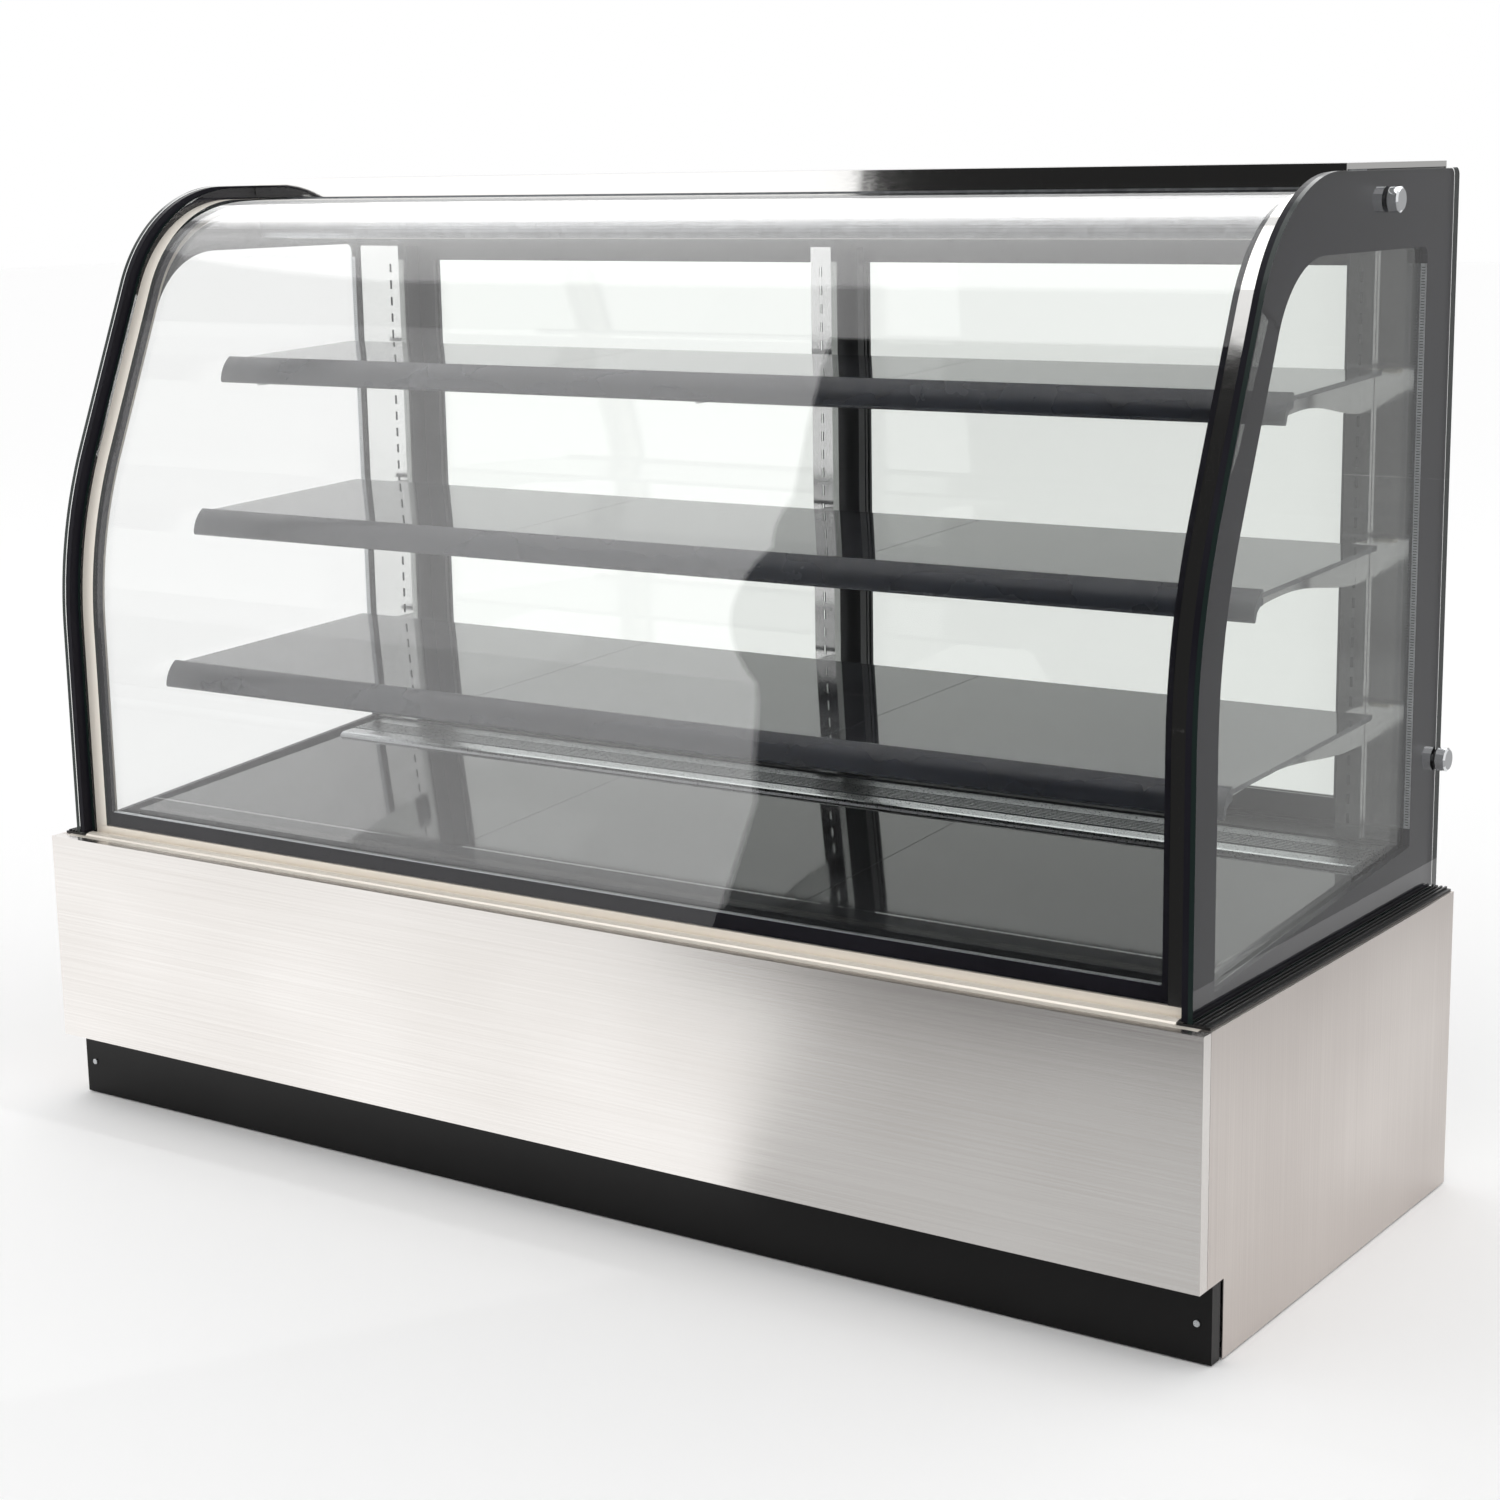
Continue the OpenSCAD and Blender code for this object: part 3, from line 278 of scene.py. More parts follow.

# %% [markdown]
# ## Mirror steel
# The trims, sill, roof and posts are polished to a number 8 mirror. A polished strip still waves
# a little where it was rolled, so a very slow, shallow bump bends its reflections. The left
# trim and the sill get an even, pale cream finish instead, a painted bright reflection.


# %% Mirror steel
WAVES = (16, 16, 16)
HAZE = (90, 400, 400)


def mirror_steel(name, tint, rough, wave, metallic=1.0):
    """Buffed steel with rolling waves about 60 mm long and faint buffing haze."""
    mat, tree, main = start(name, {"Metallic": metallic, "Base Color": hex_colour(tint)})
    slow = noise(tree, WAVES)
    haze = noise(tree, HAZE, 3.0)
    tree.links.new(spread(tree, haze, rough, rough + 0.05), main.inputs["Roughness"])
    press(tree, main, slow, wave, 0.001)
    return mat


# A pale cream, rough, barely metal finish: a painted bright reflection in place of a mirror.
pale_reflection_steel = mirror_steel("trim_steel_painted_pale_reflection", "#efe8dd", 0.30, 0.02, 0.25)
trim_steel = mirror_steel("mirror_polished_steel", "#e4e3e1", 0.03, 0.10)
post_steel = mirror_steel("polished_post_steel", "#cfd0cf", 0.10, 0.15)
liner_steel = mirror_steel("bright_liner_steel", "#c4c6c6", 0.12, 0.2)
cap_chrome = mirror_steel("polished_chrome", "#dcdee0", 0.03, 0.05)
print("mirror finishes:", pale_reflection_steel.name, trim_steel.name, post_steel.name)

# %% [markdown]
# ## Dark pans and shelves
# The deck pans are dark mirror-coated steel and the shelves are smoked glass. Seen at a low
# angle, both reflect the bright doors at about a third of their strength and show the posts
# upside down. A dark base under a smooth dielectric gives just that.


# %% Dark gloss sheets
SHADES = (6, 9, 6)
DUST = (60, 60, 60)
GLASS_IOR = 1.5


def dark_gloss(name, dark, light, rough, level):
    """A dark sheet under a hard, smooth, slightly uneven surface."""
    mat, tree, main = start(name, {"Specular IOR Level": level, "IOR": GLASS_IOR})
    cloud = noise(tree, SHADES, 5.0)
    dust = noise(tree, DUST)
    tree.links.new(ramp(tree, cloud, 0.3, 0.7, dark, light), main.inputs["Base Color"])
    tree.links.new(spread(tree, dust, rough, rough + 0.03), main.inputs["Roughness"])
    return mat


deck_finish = dark_gloss("dark_mirror_coated_steel", "#303133", "#3c3e40", 0.04, 0.42)
shelf_finish = dark_gloss("smoked_shelf_glass", "#3a3b3f", "#46484c", 0.02, 0.62)
print("dark gloss finishes:", deck_finish.name, shelf_finish.name)

# %% [markdown]
# ## Blacks and plastics
# Powder coat is a satin black with an orange-peel skin about 1.5 mm across. Moulded plastics
# have the same skin, finer. Enamel fired on glass has no skin at all and is slightly blue. The
# powder coat and the enamel reflect less than plastic does, so their level is set lower.


# %% Coatings, plastics and rubber
WEAR = (7, 7, 7)
PEEL_STRENGTH = 0.25


def coated(name, dark, light, rough, peel_mm, depth, level=0.5):
    """An even coating or moulding with a fine pebbled skin, or with none at depth 0."""
    mat, tree, main = start(name, {"Specular IOR Level": level})
    wear = noise(tree, WEAR, 6.0)
    tree.links.new(ramp(tree, wear, 0.3, 0.7, dark, light), main.inputs["Base Color"])
    tree.links.new(spread(tree, wear, rough - 0.04, rough + 0.05), main.inputs["Roughness"])
    if depth:
        peel = noise(tree, [1 / (peel_mm * MM)] * 3, 3.0)
        press(tree, main, peel, PEEL_STRENGTH, depth)
    return mat


kick_coat = coated("black_powder_coat", "#050404", "#0b0a0a", 0.30, 1.5, 0.00008, 0.2)
frame_coat = coated("black_anodised_aluminium", "#15161a", "#1d1f24", 0.30, 0.6, 0.00004)
enamel = coated("fired_black_enamel", "#17161c", "#1e1d24", 0.3, 4.0, 0.0, 0.08)
black_plastic_and_slot_shade = coated("black_abs_plastic_and_slot_shade", "#0d0d0e", "#131315", 0.38, 0.8, 0.00008)
grey_plastic = coated("charcoal_abs_plastic", "#33363a", "#3c3f44", 0.45, 0.8, 0.0001)
key_plastic = coated("grey_key_plastic", "#bfc1c4", "#cfd1d3", 0.35, 0.6, 0.00005)
white_plastic = coated("white_rocker_plastic", "#dcdcd8", "#e9e9e5", 0.22, 0.6, 0.00004)
green_plastic = coated("green_rocker_plastic", "#17702a", "#1f8735", 0.2, 0.6, 0.00004)
rubber = coated("black_epdm_rubber", "#0e0e0f", "#171718", 0.62, 0.7, 0.00012)
cream_rubber = coated("cream_silicone_rubber", "#d3cfb6", "#e2dec8", 0.5, 0.7, 0.0001)
nosing_finish = coated("dark_gloss_nosing_extrusion", "#181c24", "#20252e", 0.26, 1.0, 0.00001)
opal = coated("opal_acrylic", "#f0f0e8", "#fafaf4", 0.3, 2.0, 0.00004)
enamel_black = coated("gloss_black_enamel", "#0b0b0c", "#131314", 0.18, 1.2, 0.0001)
fan_plastic = coated("black_glass_filled_nylon", "#141416", "#1c1c1f", 0.5, 0.5, 0.0001)
foam_skin = coated("cream_polyurethane_skin", "#cfc7a2", "#ded7b6", 0.6, 3.0, 0.0004)
print("coatings from", kick_coat.name, "to", foam_skin.name)

# %% [markdown]
# ## Bare metals inside the base
# Galvanised sheet shows its zinc crystals as pale flakes some 10 mm across, mill-finish
# aluminium is plainly silver, and copper pipe is warm and a little stained.


# %% Bare metals
def bare_metal(name, dark, light, flake_mm, rough):
    """Unpainted sheet with crystals or stains of a given size."""
    mat, tree, main = start(name, {"Metallic": 1.0})
    flakes = add(
        tree,
        "ShaderNodeTexVoronoi",
        {"Vector": place(tree, [1 / (flake_mm * MM)] * 3), "Scale": 1.0},
    ).outputs["Color"]
    tone = add(tree, "ShaderNodeSeparateColor", {0: flakes}).outputs[0]
    tree.links.new(ramp(tree, tone, 0.0, 1.0, dark, light), main.inputs["Base Color"])
    tree.links.new(spread(tree, tone, rough - 0.06, rough + 0.08), main.inputs["Roughness"])
    return mat


galvanised = bare_metal("galvanised_sheet", "#85888b", "#a6a9ac", 9.0, 0.42)
mill_aluminium = bare_metal("mill_finish_aluminium", "#a2a5a8", "#b9bcbf", 3.0, 0.35)
grille_metal = bare_metal("satin_anodised_aluminium", "#8d8f91", "#9fa1a3", 1.5, 0.32)
copper = bare_metal("drawn_copper_pipe", "#9a5a34", "#c47d4e", 12.0, 0.3)
zinc = bare_metal("zinc_plated_steel", "#a7aaac", "#c3c5c7", 0.8, 0.28)
print("finishes made:", len(bpy.data.materials))

# %% [markdown]
# ## Float glass
# A pane reflects a few percent head on and nearly everything at a grazing angle, and lets the
# rest straight through, nearly colourless. Each face of each pane does this on its own, so two
# panes give four reflections, and light gets in to the shelves. Where a pane is cut, the
# black border behind it fills the edge, which looks nearly black with a little green. On the end
# glasses the border is fired on to the outer pane's inner face. Enamel that is bonded like this
# shows no reflection between itself and the glass, so that face gets a glass with none.


# %% Glass
HEAD_ON = 0.043
GRAZING = 1.0
STEEPNESS = 5.0


def see_through(name, tint):
    """A tinted clear face with no reflection: material, tree, output and shader."""
    mat, tree, out = blank(name)
    through = add(tree, "ShaderNodeBsdfTransparent", {"Color": hex_colour(tint)})
    tree.links.new(through.outputs[0], out.inputs[0])
    return mat, tree, out, through


def float_glass(name, tint, gloss_rough):
    """A clear sheet face: straight through, plus a reflection that grows at low angles."""
    mat, tree, out, through = see_through(name, tint)
    gloss = add(
        tree,
        "ShaderNodeBsdfAnisotropic",
        {"Color": hex_colour("#ffffff"), "Roughness": gloss_rough},
    )
    facing = add(tree, "ShaderNodeLayerWeight", {"Blend": 0.5}).outputs["Facing"]
    steep = add(
        tree, "ShaderNodeMath", {0: facing, 1: STEEPNESS}, operation="POWER"
    ).outputs[0]
    share = spread(tree, steep, HEAD_ON, GRAZING)
    mix = add(tree, "ShaderNodeMixShader", {0: share, 1: through.outputs[0], 2: gloss.outputs[0]})
    tree.links.new(mix.outputs[0], out.inputs[0])
    return mat


clear_glass = float_glass("float_glass_clear", "#fefefe", 0.0)
door_pane_glass = float_glass("float_glass_door", "#fcfefc", 0.02)
bonded_face = see_through("float_glass_bonded_face", "#fdfefd")[0]
glass_edge, _, _ = start(
    "float_glass_cut_edge",
    {
        "Base Color": hex_colour("#1b2624"),
        "Roughness": 0.16,
        "Specular IOR Level": 0.35,
        "IOR": GLASS_IOR,
    },
)
print("glass:", clear_glass.name, door_pane_glass.name, bonded_face.name, glass_edge.name)

# %% [markdown]
# ## Pulling a profile
# The curved glass, the trims, the end panes and the shelf nosings are each one flat outline
# pulled along X. A Geometry Nodes tree does the pulling: the outline is a single face,
# Extrude Mesh lifts it by Length, a flipped copy closes the far side, and the tree gives the
# faces at the ends and the faces along the pull their own materials.


# %% Geometry Nodes: pull a profile along X
def pull_tree():
    """Inputs: Profile, Length and the finishes of its two ends and its sides. Output: a bar."""
    tree = bpy.data.node_groups.new("pull_profile", "GeometryNodeTree")
    face = tree.interface
    face.new_socket("Profile", in_out="INPUT", socket_type="NodeSocketGeometry")
    face.new_socket("Length", in_out="INPUT", socket_type="NodeSocketFloat")
    face.new_socket("Base Finish", in_out="INPUT", socket_type="NodeSocketMaterial")
    face.new_socket("End Finish", in_out="INPUT", socket_type="NodeSocketMaterial")
    face.new_socket("Side Finish", in_out="INPUT", socket_type="NodeSocketMaterial")
    face.new_socket("Bar", in_out="OUTPUT", socket_type="NodeSocketGeometry")
    given = add(tree, "NodeGroupInput").outputs
    pull = add(tree, "ShaderNodeCombineXYZ", {"X": given["Length"]}).outputs[0]
    lifted = add(
        tree,
        "GeometryNodeExtrudeMesh",
        {"Mesh": given["Profile"], "Offset": pull, "Offset Scale": 1.0, "Individual": False},
        mode="FACES",
    )
    sides = add(
        tree,
        "GeometryNodeSetMaterial",
        {
            "Geometry": lifted.outputs["Mesh"],
            "Selection": lifted.outputs["Side"],
            "Material": given["Side Finish"],
        },
    )
    top = add(
        tree,
        "GeometryNodeSetMaterial",
        {
            "Geometry": sides.outputs[0],
            "Selection": lifted.outputs["Top"],
            "Material": given["End Finish"],
        },
    )
    foot = add(tree, "GeometryNodeFlipFaces", {"Mesh": given["Profile"]})
    foot = add(
        tree,
        "GeometryNodeSetMaterial",
        {"Geometry": foot.outputs[0], "Material": given["Base Finish"]},
    )
    both = add(tree, "GeometryNodeJoinGeometry")
    tree.links.new(foot.outputs[0], both.inputs[0])
    tree.links.new(top.outputs[0], both.inputs[0])
    whole = add(
        tree, "GeometryNodeMergeByDistance", {"Geometry": both.outputs[0], "Distance": 1e-6}
    )
    real = add(tree, "GeometryNodeRealizeInstances", {"Geometry": whole.outputs[0]})
    out = add(tree, "NodeGroupOutput")
    tree.links.new(real.outputs[0], out.inputs[0])
    return tree


PULL = pull_tree()
print("tree", PULL.name, "has", len(PULL.nodes), "nodes")

# %% [markdown]
# ## From a tree to a piece
# A Geometry Nodes tree only works as a modifier on some object. The export wants plain meshes,
# so each outline gets the modifier, is evaluated once and is kept as a mesh without it. Shading
# is then smoothed everywhere but at steep edges, as on a bent pane with square-cut edges.


# %% Helpers for pieces
CRISP_FROM = math.radians(25.0)


def set_inputs(modifier, values):
    """Sets a Geometry Nodes modifier's inputs by their shown names, through their identifiers."""
    known = {
        item.name: item.identifier
        for item in modifier.node_group.interface.items_tree
        if item.item_type == "SOCKET" and item.in_out == "INPUT"
    }
    for name, value in values.items():
        modifier[known[name]] = value


def baked(obj, name):
    """The evaluated object as one plain mesh object, with the modifiers gone."""
    bpy.context.view_layer.update()
    graph = bpy.context.evaluated_depsgraph_get()
    mesh = bpy.data.meshes.new_from_object(obj.evaluated_get(graph))
    source = obj.data
    bpy.data.objects.remove(obj)
    bpy.data.meshes.remove(source)
    return linked(name, mesh)


def smooth_by_angle(mesh):
    """Soft shading round the curves, with crisp edges where faces meet steeply."""
    mesh.polygons.foreach_set("use_smooth", [True] * len(mesh.polygons))
    mesh.set_sharp_from_angle(angle=CRISP_FROM)


def pulled(name, outline, x0, x1, finishes, side_finish):
    """An outline of (y, z) points in millimetres, pulled from x0 to x1, as a closed piece."""
    base_finish, end_finish = finishes
    mesh = bpy.data.meshes.new(name + "_outline")
    shape = bmesh.new()
    points = [shape.verts.new((x0 * MM, row_y(y), z * MM)) for y, z in outline]
    flat = shape.faces.new(points)
    flat.normal_update()
    if flat.normal.x < 0:
        flat.normal_flip()
    shape.to_mesh(mesh)
    shape.free()
    obj = linked(name + "_outline", mesh)
    modifier = obj.modifiers.new("pull", "NODES")
    modifier.node_group = PULL
    set_inputs(
        modifier,
        {
            "Length": (x1 - x0) * MM,
            "Base Finish": base_finish,
            "End Finish": end_finish,
            "Side Finish": side_finish,
        },
    )
    made = baked(obj, name)
    smooth_by_angle(made.data)
    return made


def joined(name, parts):
    """Several pieces made into one mesh object."""
    whole = bmesh.new()
    finishes = []
    for part in parts:
        first = len(whole.faces)
        whole.from_mesh(part.data)
        whole.faces.ensure_lookup_table()
        local = []
        for mat in part.data.materials:
            if mat not in finishes:
                finishes.append(mat)
            local.append(finishes.index(mat))
        for face in whole.faces[first:]:
            face.material_index = local[face.material_index]
    mesh = bpy.data.meshes.new(name)
    whole.to_mesh(mesh)
    whole.free()
    for mat in finishes:
        mesh.materials.append(mat)
    for part in parts:
        source = part.data
        bpy.data.objects.remove(part)
        bpy.data.meshes.remove(source)
    return linked(name, mesh)


def hand_over(piece, nodes, body="case"):
    """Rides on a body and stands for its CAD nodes."""
    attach(piece, body)
    if nodes:
        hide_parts(*nodes)
    print("made", piece.name, len(piece.data.polygons), "faces")


def bar_outline(outer, inner, foot, end_y):
    """The outline of a curved band between two insets of the side profile."""
    return front_line(outer, foot, end_y) + front_line(inner, foot, end_y)[::-1]


band = bar_outline(FRONT_OUT, FRONT_IN, SILL_Z, ROOF_Y)
print("the front unit's outline has", len(band), "points")

# %% [markdown]
# ## The curved front
# Two bent panes stand on the sill, a little apart, and run back under the roof. Each is a band
# between two insets of the side profile. Beside them, a polished trim on each side follows the
# same curve, and the left one gets a pale painted reflection instead of its mirror.

# %% Front panes and trims
FOOT = SILL_Z + 0.5
panes = [
    pulled(
        "front_pane",
        bar_outline(outer, outer + FRONT_PANE, FOOT, ROOF_Y),
        -GLASS_HALF,
        GLASS_HALF,
        (glass_edge, glass_edge),
        clear_glass,
    )
    for outer in (FRONT_OUT, FRONT_IN - FRONT_PANE)
]
front_glass = joined("curved_front_glass", panes)
hand_over(front_glass, ["front_glass"])

TRIM_BACK = FRONT_IN + 8.0
TRIM_GAP = 0.2
for side, node in ((-1, "left_trim"), (1, "right_trim")):
    ends = sorted((side * (GLASS_HALF + TRIM_GAP), side * (END_IN - TRIM_GAP)))
    # On the left the trim gets the pale painted reflection, on the right the mirror.
    finish = pale_reflection_steel if side < 0 else trim_steel
    trim = pulled(
        node + "_polished",
        bar_outline(FRONT_OUT, TRIM_BACK, SILL_Z + TRIM_GAP, ROOF_Y),
        *ends,
        (finish, finish),
        finish,
    )
    hand_over(trim, [node])

# %% [markdown]
# ## The end glasses
# Each end is two flat panes with a fired black border between them. The outline repeats the
# front curve at full size, with a small radius at the top rear corner. The inner pane is cut a
# little smaller all round, as in a stepped unit, and the cut edges are ground.

# %% End panes
END_FOOT = BASE_TOP + 3.0
CORNER_R = 10.0
CORNER_STEPS = 12
OUTER_PANE = 6.0
INNER_PANE = 5.0
FULL_SIZE = (0, 0, 0, 0)
STEPPED_IN = (16, 2, 4, 2)


def end_outline(inset, lift, drop, back):
    """One end pane's outline, smaller by those amounts in front, below, above and behind."""
    rear = REAR_Y - back - CORNER_R
    top = GLASS_TOP - drop
    line = front_line(inset, END_FOOT + lift, rear, top, TOP_ARC_R - drop)
    turns = [math.radians(90.0 * i / CORNER_STEPS) for i in range(1, CORNER_STEPS + 1)]
    line += [
        (rear + CORNER_R * math.sin(a), top - CORNER_R + CORNER_R * math.cos(a)) for a in turns
    ]
    return line + [(REAR_Y - back, END_FOOT + lift)]


for side, node in ((-1, "left_end_glass"), (1, "right_end_glass")):
    outer = sorted((side * (END_OUT - OUTER_PANE), side * END_OUT))
    inner = sorted((side * END_IN, side * (END_IN + INNER_PANE)))
    faces = (bonded_face, clear_glass)[::side]
    both = (clear_glass, clear_glass)
    ends = [
        pulled("outer_pane", end_outline(*FULL_SIZE), *outer, faces, glass_edge),
        pulled("inner_pane", end_outline(*STEPPED_IN), *inner, both, glass_edge),
    ]
    hand_over(joined(node + "_panes", ends), [node])

# %% [markdown]
# ## Shelf nosings
# Each shelf's front edge sits in a long extrusion. Its face bulges and leans out to a sharp lip
# at the foot, and its soft highlight only looks right on a smooth curve. The shelves tilt
# forwards, and each is shallower than the one below by the same step. A shelf is given by the
# place of its nosing's front and by the height of its back edge.

# %% Nosings
SHELF_BACK = 595.0
SHELF_DEPTH = 420.0
SHELF_STEP = 71.0
SHELF_SHARES = (0.269, 0.502, 0.737)
SHELF_TILT = math.radians(2.5)
SHELF_T = 6.0
SHELF_LEVELS = [
    (SHELF_BACK - SHELF_DEPTH + SHELF_STEP * i, BASE_TOP + share * GLASS_H)
    for i, share in enumerate(SHELF_SHARES)
]
SHELF_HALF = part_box("shelf_nosings")[1].x / MM
NOSE_DEPTH = 24.0
NOSE_SLOT = 17.5
SLOT_PLAY = 0.3
NOSE_R = 45.0
NOSE_CENTRE = (44.7, -33.1)
NOSE_ARC = (math.radians(6.5), math.radians(56.7))
NOSE_TOP = 4.0
NOSE_UNDER = -14.0
NOSE_LIP = ((16, -15), (9, -20), (5, -30), (3, -32), (1, -31))


def nosing_outline(front, level):
    """The nosing's section: a bulged face from its lip up to its top, slot for the glass."""
    z = level - (SHELF_BACK - front - NOSE_SLOT) * math.tan(SHELF_TILT)
    rise = (NOSE_DEPTH - NOSE_SLOT) * math.tan(SHELF_TILT)
    back = front + NOSE_DEPTH
    face = arc(front + NOSE_CENTRE[0], z + NOSE_CENTRE[1], NOSE_R, *NOSE_ARC)
    slot = [
        (back, z + SLOT_PLAY + rise),
        (front + NOSE_SLOT, z + SLOT_PLAY),
        (front + NOSE_SLOT, z - SHELF_T - SLOT_PLAY),
        (back, z - SHELF_T - SLOT_PLAY + rise),
    ]
    lip = [(front + y, z + dz) for y, dz in NOSE_LIP]
    return face + [(back, z + NOSE_TOP)] + slot + [(back, z + NOSE_UNDER)] + lip


nosings = [
    pulled(
        "nosing",
        nosing_outline(*level),
        -SHELF_HALF,
        SHELF_HALF,
        (nosing_finish, nosing_finish),
        nosing_finish,
    )
    for level in SHELF_LEVELS
]
hand_over(joined("shelf_nosings_round", nosings), ["shelf_nosings"])

# %% [markdown]
# ## Spacer bars
# The panes of a sealed unit are held apart by a thin aluminium bar whose face is pierced with a
# row of slots, which let the drying beads inside reach the air. The row shows as a fine ladder
# beside the black border. A Geometry Nodes tree lays one bar and repeats its slots along it.


# %% Geometry Nodes: a bar with a row of slots
def spacer_tree():
    """Inputs: the bar's size and centre, one slot, how the row runs, the bar's finish, the slot
    shade.
    """
    tree = bpy.data.node_groups.new("pierced_spacer_bar", "GeometryNodeTree")
    face = tree.interface
    for name in ("Bar Size", "Bar Centre", "Slot Size", "First Slot", "Slot Step"):
        face.new_socket(name, in_out="INPUT", socket_type="NodeSocketVector")
    face.new_socket("Slot Count", in_out="INPUT", socket_type="NodeSocketInt")
    for name in ("Bar Finish", "Painted Slot Shade"):
        face.new_socket(name, in_out="INPUT", socket_type="NodeSocketMaterial")
    face.new_socket("Bar", in_out="OUTPUT", socket_type="NodeSocketGeometry")
    given = add(tree, "NodeGroupInput").outputs
    bar = add(tree, "GeometryNodeMeshCube", {"Size": given["Bar Size"]})
    bar = add(
        tree,
        "GeometryNodeTransform",
        {"Geometry": bar.outputs["Mesh"], "Translation": given["Bar Centre"]},
    )
    bar = add(
        tree,
        "GeometryNodeSetMaterial",
        {"Geometry": bar.outputs[0], "Material": given["Bar Finish"]},
    )
    row = add(
        tree,
        "GeometryNodeMeshLine",
        {
            "Count": given["Slot Count"],
            "Start Location": given["First Slot"],
            "Offset": given["Slot Step"],
        },
    )
    slot = add(tree, "GeometryNodeMeshCube", {"Size": given["Slot Size"]})
    slots = add(
        tree,
        "GeometryNodeInstanceOnPoints",
        {"Points": row.outputs[0], "Instance": slot.outputs["Mesh"]},
    )
    real = add(tree, "GeometryNodeRealizeInstances", {"Geometry": slots.outputs[0]})
    real = add(
        tree,
        "GeometryNodeSetMaterial",
        {"Geometry": real.outputs[0], "Material": given["Painted Slot Shade"]},
    )
    both = add(tree, "GeometryNodeJoinGeometry")
    tree.links.new(real.outputs[0], both.inputs[0])
    tree.links.new(bar.outputs[0], both.inputs[0])
    out = add(tree, "NodeGroupOutput")
    tree.links.new(both.outputs[0], out.inputs[0])
    return tree


SPACER = spacer_tree()
print("tree", SPACER.name, "has", len(SPACER.nodes), "nodes")

# %% [markdown]
# ## Three bars
# One bar lies at the foot of the front glass with its slots upwards, and one stands at the rear
# of each end glass with its slots forwards. Each slot is a thin dark plate, painted shade that
# reads as a hole; it stands out less than a tenth of a millimetre and costs only six faces.

# %% Spacer bars
SLOT_PITCH = 3.4
SLOT_SHARE = 0.62
SLOT_WIDTH = 0.9
SLOT_PLATE = 0.1
PLATE_LIFT = 0.03
BAR_T = 1.4
BAR_GAP = 0.3
BAR_SHORT = 12.0
FRONT_BAR_Z = 424.3
REAR_BAR_FOOT = 484.0
REAR_BAR_TOP = 1180.0
REAR_BORDER = 79.0


def spacer_bar(name, low, high, along, facing):
    """A pierced bar between two corners (x, row y, z), its row along one axis.

    along is 0, 1 or 2. facing is 1, 2 or 3 for the axis the slots look along, or minus that.
    """
    ends = [Vector((x * MM, row_y(y), z * MM)) for x, y, z in (low, high)]
    size = ends[1] - ends[0]
    centre = (ends[0] + ends[1]) / 2
    step = SLOT_PITCH * MM
    count = int(size[along] / step) - 1
    look = abs(facing) - 1
    slot = size * SLOT_SHARE
    slot[along] = SLOT_WIDTH * MM
    slot[look] = SLOT_PLATE * MM
    first = centre.copy()
    first[along] -= step * (count - 1) / 2
    first[look] += math.copysign(size[look] / 2 + PLATE_LIFT * MM, facing)
    run = Vector((0.0, 0.0, 0.0))
    run[along] = step
    base = linked(name + "_base", bpy.data.meshes.new(name + "_base"))
    modifier = base.modifiers.new("pierce", "NODES")
    modifier.node_group = SPACER
    set_inputs(
        modifier,
        {
            "Bar Size": size,
            "Bar Centre": centre,
            "Slot Size": slot,
            "First Slot": first,
            "Slot Step": run,
            "Slot Count": count,
            "Bar Finish": mill_aluminium,
            # The black slot plates are painted shade for the inside of each hole.
            "Painted Slot Shade": black_plastic_and_slot_shade,
        },
    )
    return baked(base, name)


CAVITY_IN = END_IN + INNER_PANE + BAR_GAP
CAVITY_OUT = END_OUT - OUTER_PANE - BAR_GAP
BAR_HALF = GLASS_HALF - BAR_SHORT
CAVITY_FRONT = GLASS_FRONT + FRONT_OUT + FRONT_PANE + BAR_GAP
CAVITY_BACK = GLASS_FRONT + FRONT_IN - FRONT_PANE - BAR_GAP
REAR_BAR_Y = REAR_Y - REAR_BORDER - BAR_GAP
bars = [
    spacer_bar(
        "front_foot_spacer",
        (-BAR_HALF, CAVITY_FRONT, FRONT_BAR_Z),
        (BAR_HALF, CAVITY_BACK, FRONT_BAR_Z + BAR_T),
        0,
        3,
    )
]
for side in (-1, 1):
    across = sorted((side * CAVITY_IN, side * CAVITY_OUT))
    bars.append(
        spacer_bar(
            "rear_edge_spacer",
            (across[0], REAR_BAR_Y - BAR_T, REAR_BAR_FOOT),
            (across[1], REAR_BAR_Y, REAR_BAR_TOP),
            2,
            -2,
        )
    )
hand_over(joined("pierced_spacer_bars", bars), [])

# %% [markdown]
# ## Finishes on the parts that keep their shape
# The plain parts only need their finish, so each node gets one from this list.

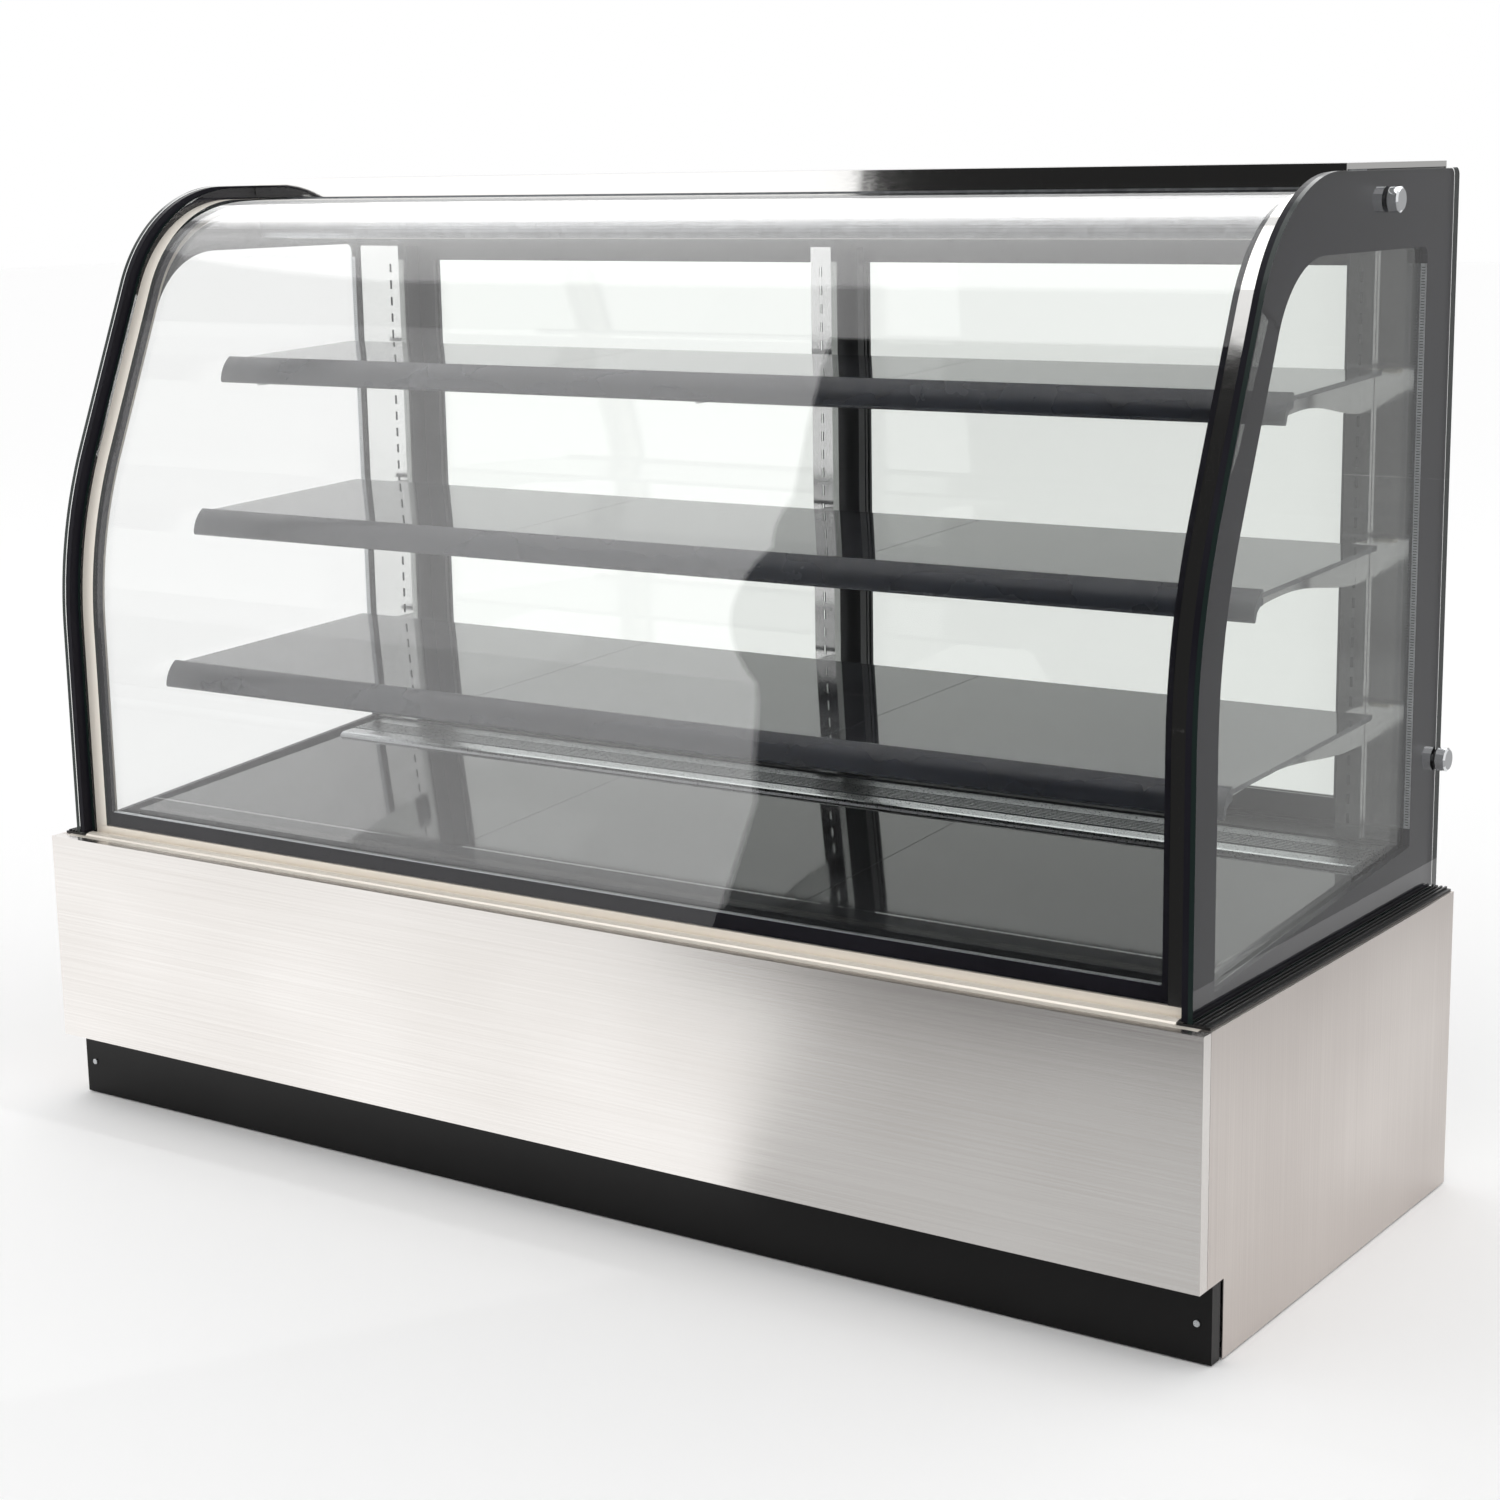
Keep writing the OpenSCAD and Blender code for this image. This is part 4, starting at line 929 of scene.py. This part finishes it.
# %% Finish the remaining nodes
FINISHES = {
    panel_steel: "front_panel",
    # The side and service panels wear the darker copies of the steel: painted shade.
    side_steel_painted_shade: "left_side_panel right_side_panel",
    rear_steel_painted_shade: "service_panel",
    kick_coat: "kick_plate",
    zinc: "panel_screws",
    grey_plastic: "control_panel",
    black_plastic_and_slot_shade: "controller_body power_inlet ledge_strips well_cover",
    key_plastic: "set_button up_button down_button",
    white_plastic: "light_switch",
    green_plastic: "power_switch",
    # The sill's pale finish is a painted reflection, as on the left trim.
    pale_reflection_steel: "front_sill",
    trim_steel: "top_panel",
    liner_steel: "tub_liner",
    foam_skin: "insulated_tub",
    deck_finish: "deck_pans",
    grille_metal: "air_grille",
    clear_glass: "guard_glass",
    door_pane_glass: "left_door_glass right_door_glass",
    shelf_finish: "shelf_glass_low shelf_glass_mid shelf_glass_top",
    mill_aluminium: "evaporator_coil condenser_coil drain_pan",
    fan_plastic: "evaporator_fan_left evaporator_fan_right condenser_fan",
    enamel_black: "compressor",
    copper: "refrigerant_lines",
    galvanised: "base_frame condenser_shroud evaporator_fan_panel lamp_housing",
    enamel: "front_glass_seal left_end_seal right_end_seal",
    cap_chrome: "fixing_caps",
    rubber: "cap_gaskets levelling_feet",
    opal: "lamp_lens",
    frame_coat: "rear_frame left_door_frame right_door_frame",
    post_steel: "shelf_posts shelf_brackets",
    cream_rubber: "bracket_bumpers",
}
for mat, names in FINISHES.items():
    for name in names.split():
        NODES[name].data.materials.clear()
        NODES[name].data.materials.append(mat)
print("finished", sum(len(names.split()) for names in FINISHES.values()), "nodes")

# %% [markdown]
# ## Studio
# A pale floor and a white surround give soft light from everywhere, so no lamp is needed. Light
# goes through many clear faces here, and each one counts as a bounce, so the limits are raised.

# %% Floor and surround
scene = bpy.context.scene
scene.view_settings.view_transform = "Standard"
scene.cycles.transparent_max_bounces = 40
scene.cycles.max_bounces = 14
scene.cycles.sample_clamp_indirect = 6.0

world = bpy.data.worlds.new("studio_surround")
world.use_nodes = True
world.node_tree.nodes["Background"].inputs[0].default_value = (1.0, 1.0, 1.0, 1.0)
world.node_tree.nodes["Background"].inputs[1].default_value = 1.0
scene.world = world


def stage_sheet(name, points, faces, mat):
    """A thin piece of the studio, made from points in metres and its faces."""
    mesh = bpy.data.meshes.new(name)
    mesh.from_pydata(points, [], faces)
    mesh.materials.append(mat)
    made = linked(name, mesh)
    return made


FLOOR_HALF = 30.0
floor_paint, _, _ = start(
    "pale_floor_paint", {"Base Color": hex_colour("#fdfdfd"), "Roughness": 0.9}
)
SQUARE = ((-1, -1), (1, -1), (1, 1), (-1, 1))
floor_corners = [(FLOOR_HALF * x, FLOOR_HALF * y, 0) for x, y in SQUARE]
stage_sheet("floor", floor_corners, [(0, 1, 2, 3)], floor_paint)
print("floor", 2 * FLOOR_HALF, "m wide under", world.name)

# %% [markdown]
# ## Reflection cards
# Glass and polished steel need something to reflect, so cards that only reflections see stand
# round the case. Dark ones in front keep the right half of the glass clear and the right trim
# black, bright ones at the left lay a white veil on the left half, grey ones at the right dull
# the end glass, and soft boxes above brighten the curve of the top. The edge between dark and
# bright is bent at several points, because it decides where the veil ends on the curved glass.


# %% Cards for the glass
def glow(name, strength):
    """A plain emitting surface for a card that only reflections see."""
    mat, tree, out = blank(name)
    light = add(tree, "ShaderNodeEmission", {"Strength": strength})
    tree.links.new(light.outputs[0], out.inputs[0])
    return mat


def card(name, left, right, strength):
    """A reflection card: a strip of quads between two edges, seen only by glossy rays."""
    rows = len(left)
    faces = [(i, i + rows, i + rows + 1, i + 1) for i in range(rows - 1)]
    made = stage_sheet(name, left + right, faces, glow(name + "_surface", strength))
    made.visible_camera = False
    made.visible_diffuse = False
    made.visible_shadow = False
    made.visible_transmission = False


def wall_edge(points, y):
    """An edge of a standing card from its (x, z) points."""
    return [(x, y, z) for x, z in points]


def floor_edge(points, z=0.003):
    """An edge of a lying card from its (x, y) points. As given, it skims the floor."""
    return [(x, y, z) for x, y in points]


FLAG_Y = -5.0
FLAG_RIGHT = 0.5
FAR_LEFT = -9.0
HEIGHTS = (0.004, 0.87, 2.0, 3.08, 4.96, 5.45)
VEIL_EDGE = wall_edge(zip((-2.93, -3.0, -3.1, -3.23, -3.8, -3.92), HEIGHTS), FLAG_Y)
card("dark_flag", VEIL_EDGE, wall_edge([(FLAG_RIGHT, z) for z in HEIGHTS], FLAG_Y), 0.02)
card("bright_wall", wall_edge([(FAR_LEFT, z) for z in HEIGHTS], FLAG_Y), VEIL_EDGE, 1.35)

FLOOR_SPLIT = ((-0.57, -1.43), (-0.63, -1.5), (-1.16, -2.39), (-1.38, -2.7), (-2.93, FLAG_Y))
split_edge = floor_edge(FLOOR_SPLIT)
split_right = floor_edge([(FLAG_RIGHT, y) for _, y in FLOOR_SPLIT])
split_left = floor_edge([(FAR_LEFT, y) for _, y in FLOOR_SPLIT])
card("dark_floor_flag", split_edge, split_right, 0.02)
card("bright_floor", split_left, split_edge, 1.15)

NEAR_SPLIT = ((0.2, -0.45), (-0.35, -1.43))
NEAR_RIGHT = 1.2
NEAR_LEFT = -4.0
near_edge = floor_edge(NEAR_SPLIT)
near_right = floor_edge([(NEAR_RIGHT, y) for _, y in NEAR_SPLIT])
near_left = floor_edge([(NEAR_LEFT, y) for _, y in NEAR_SPLIT])
card("grey_near_floor", near_edge, near_right, 0.66)
card("bright_near_floor", near_left, near_edge, 1.28)

SIDE_X = (1.5, 9.0)
SIDE_FRONT = -0.6
SIDE_BACK = 8.0
SIDE_HEIGHT = 4.0
side_wall = [wall_edge([(x, HEIGHTS[0]), (x, SIDE_HEIGHT)], SIDE_BACK) for x in SIDE_X]
side_floor = [floor_edge([(x, SIDE_FRONT), (x, SIDE_BACK)]) for x in SIDE_X]
card("grey_side_wall", *side_wall, 0.48)
card("grey_side_floor", *side_floor, 0.48)

BOX_X = (-7.0, 5.0)
BOX_EDGE_Y = 1.6
rear_box = [floor_edge([(x, BOX_EDGE_Y), (x, 6.5)], 4.6) for x in BOX_X]
overhead_box = [floor_edge([(x, -4.5), (x, BOX_EDGE_Y)], 7.0) for x in BOX_X]
card("rear_softbox", *rear_box, 3.0)
card("overhead_softbox", *overhead_box, 1.9)
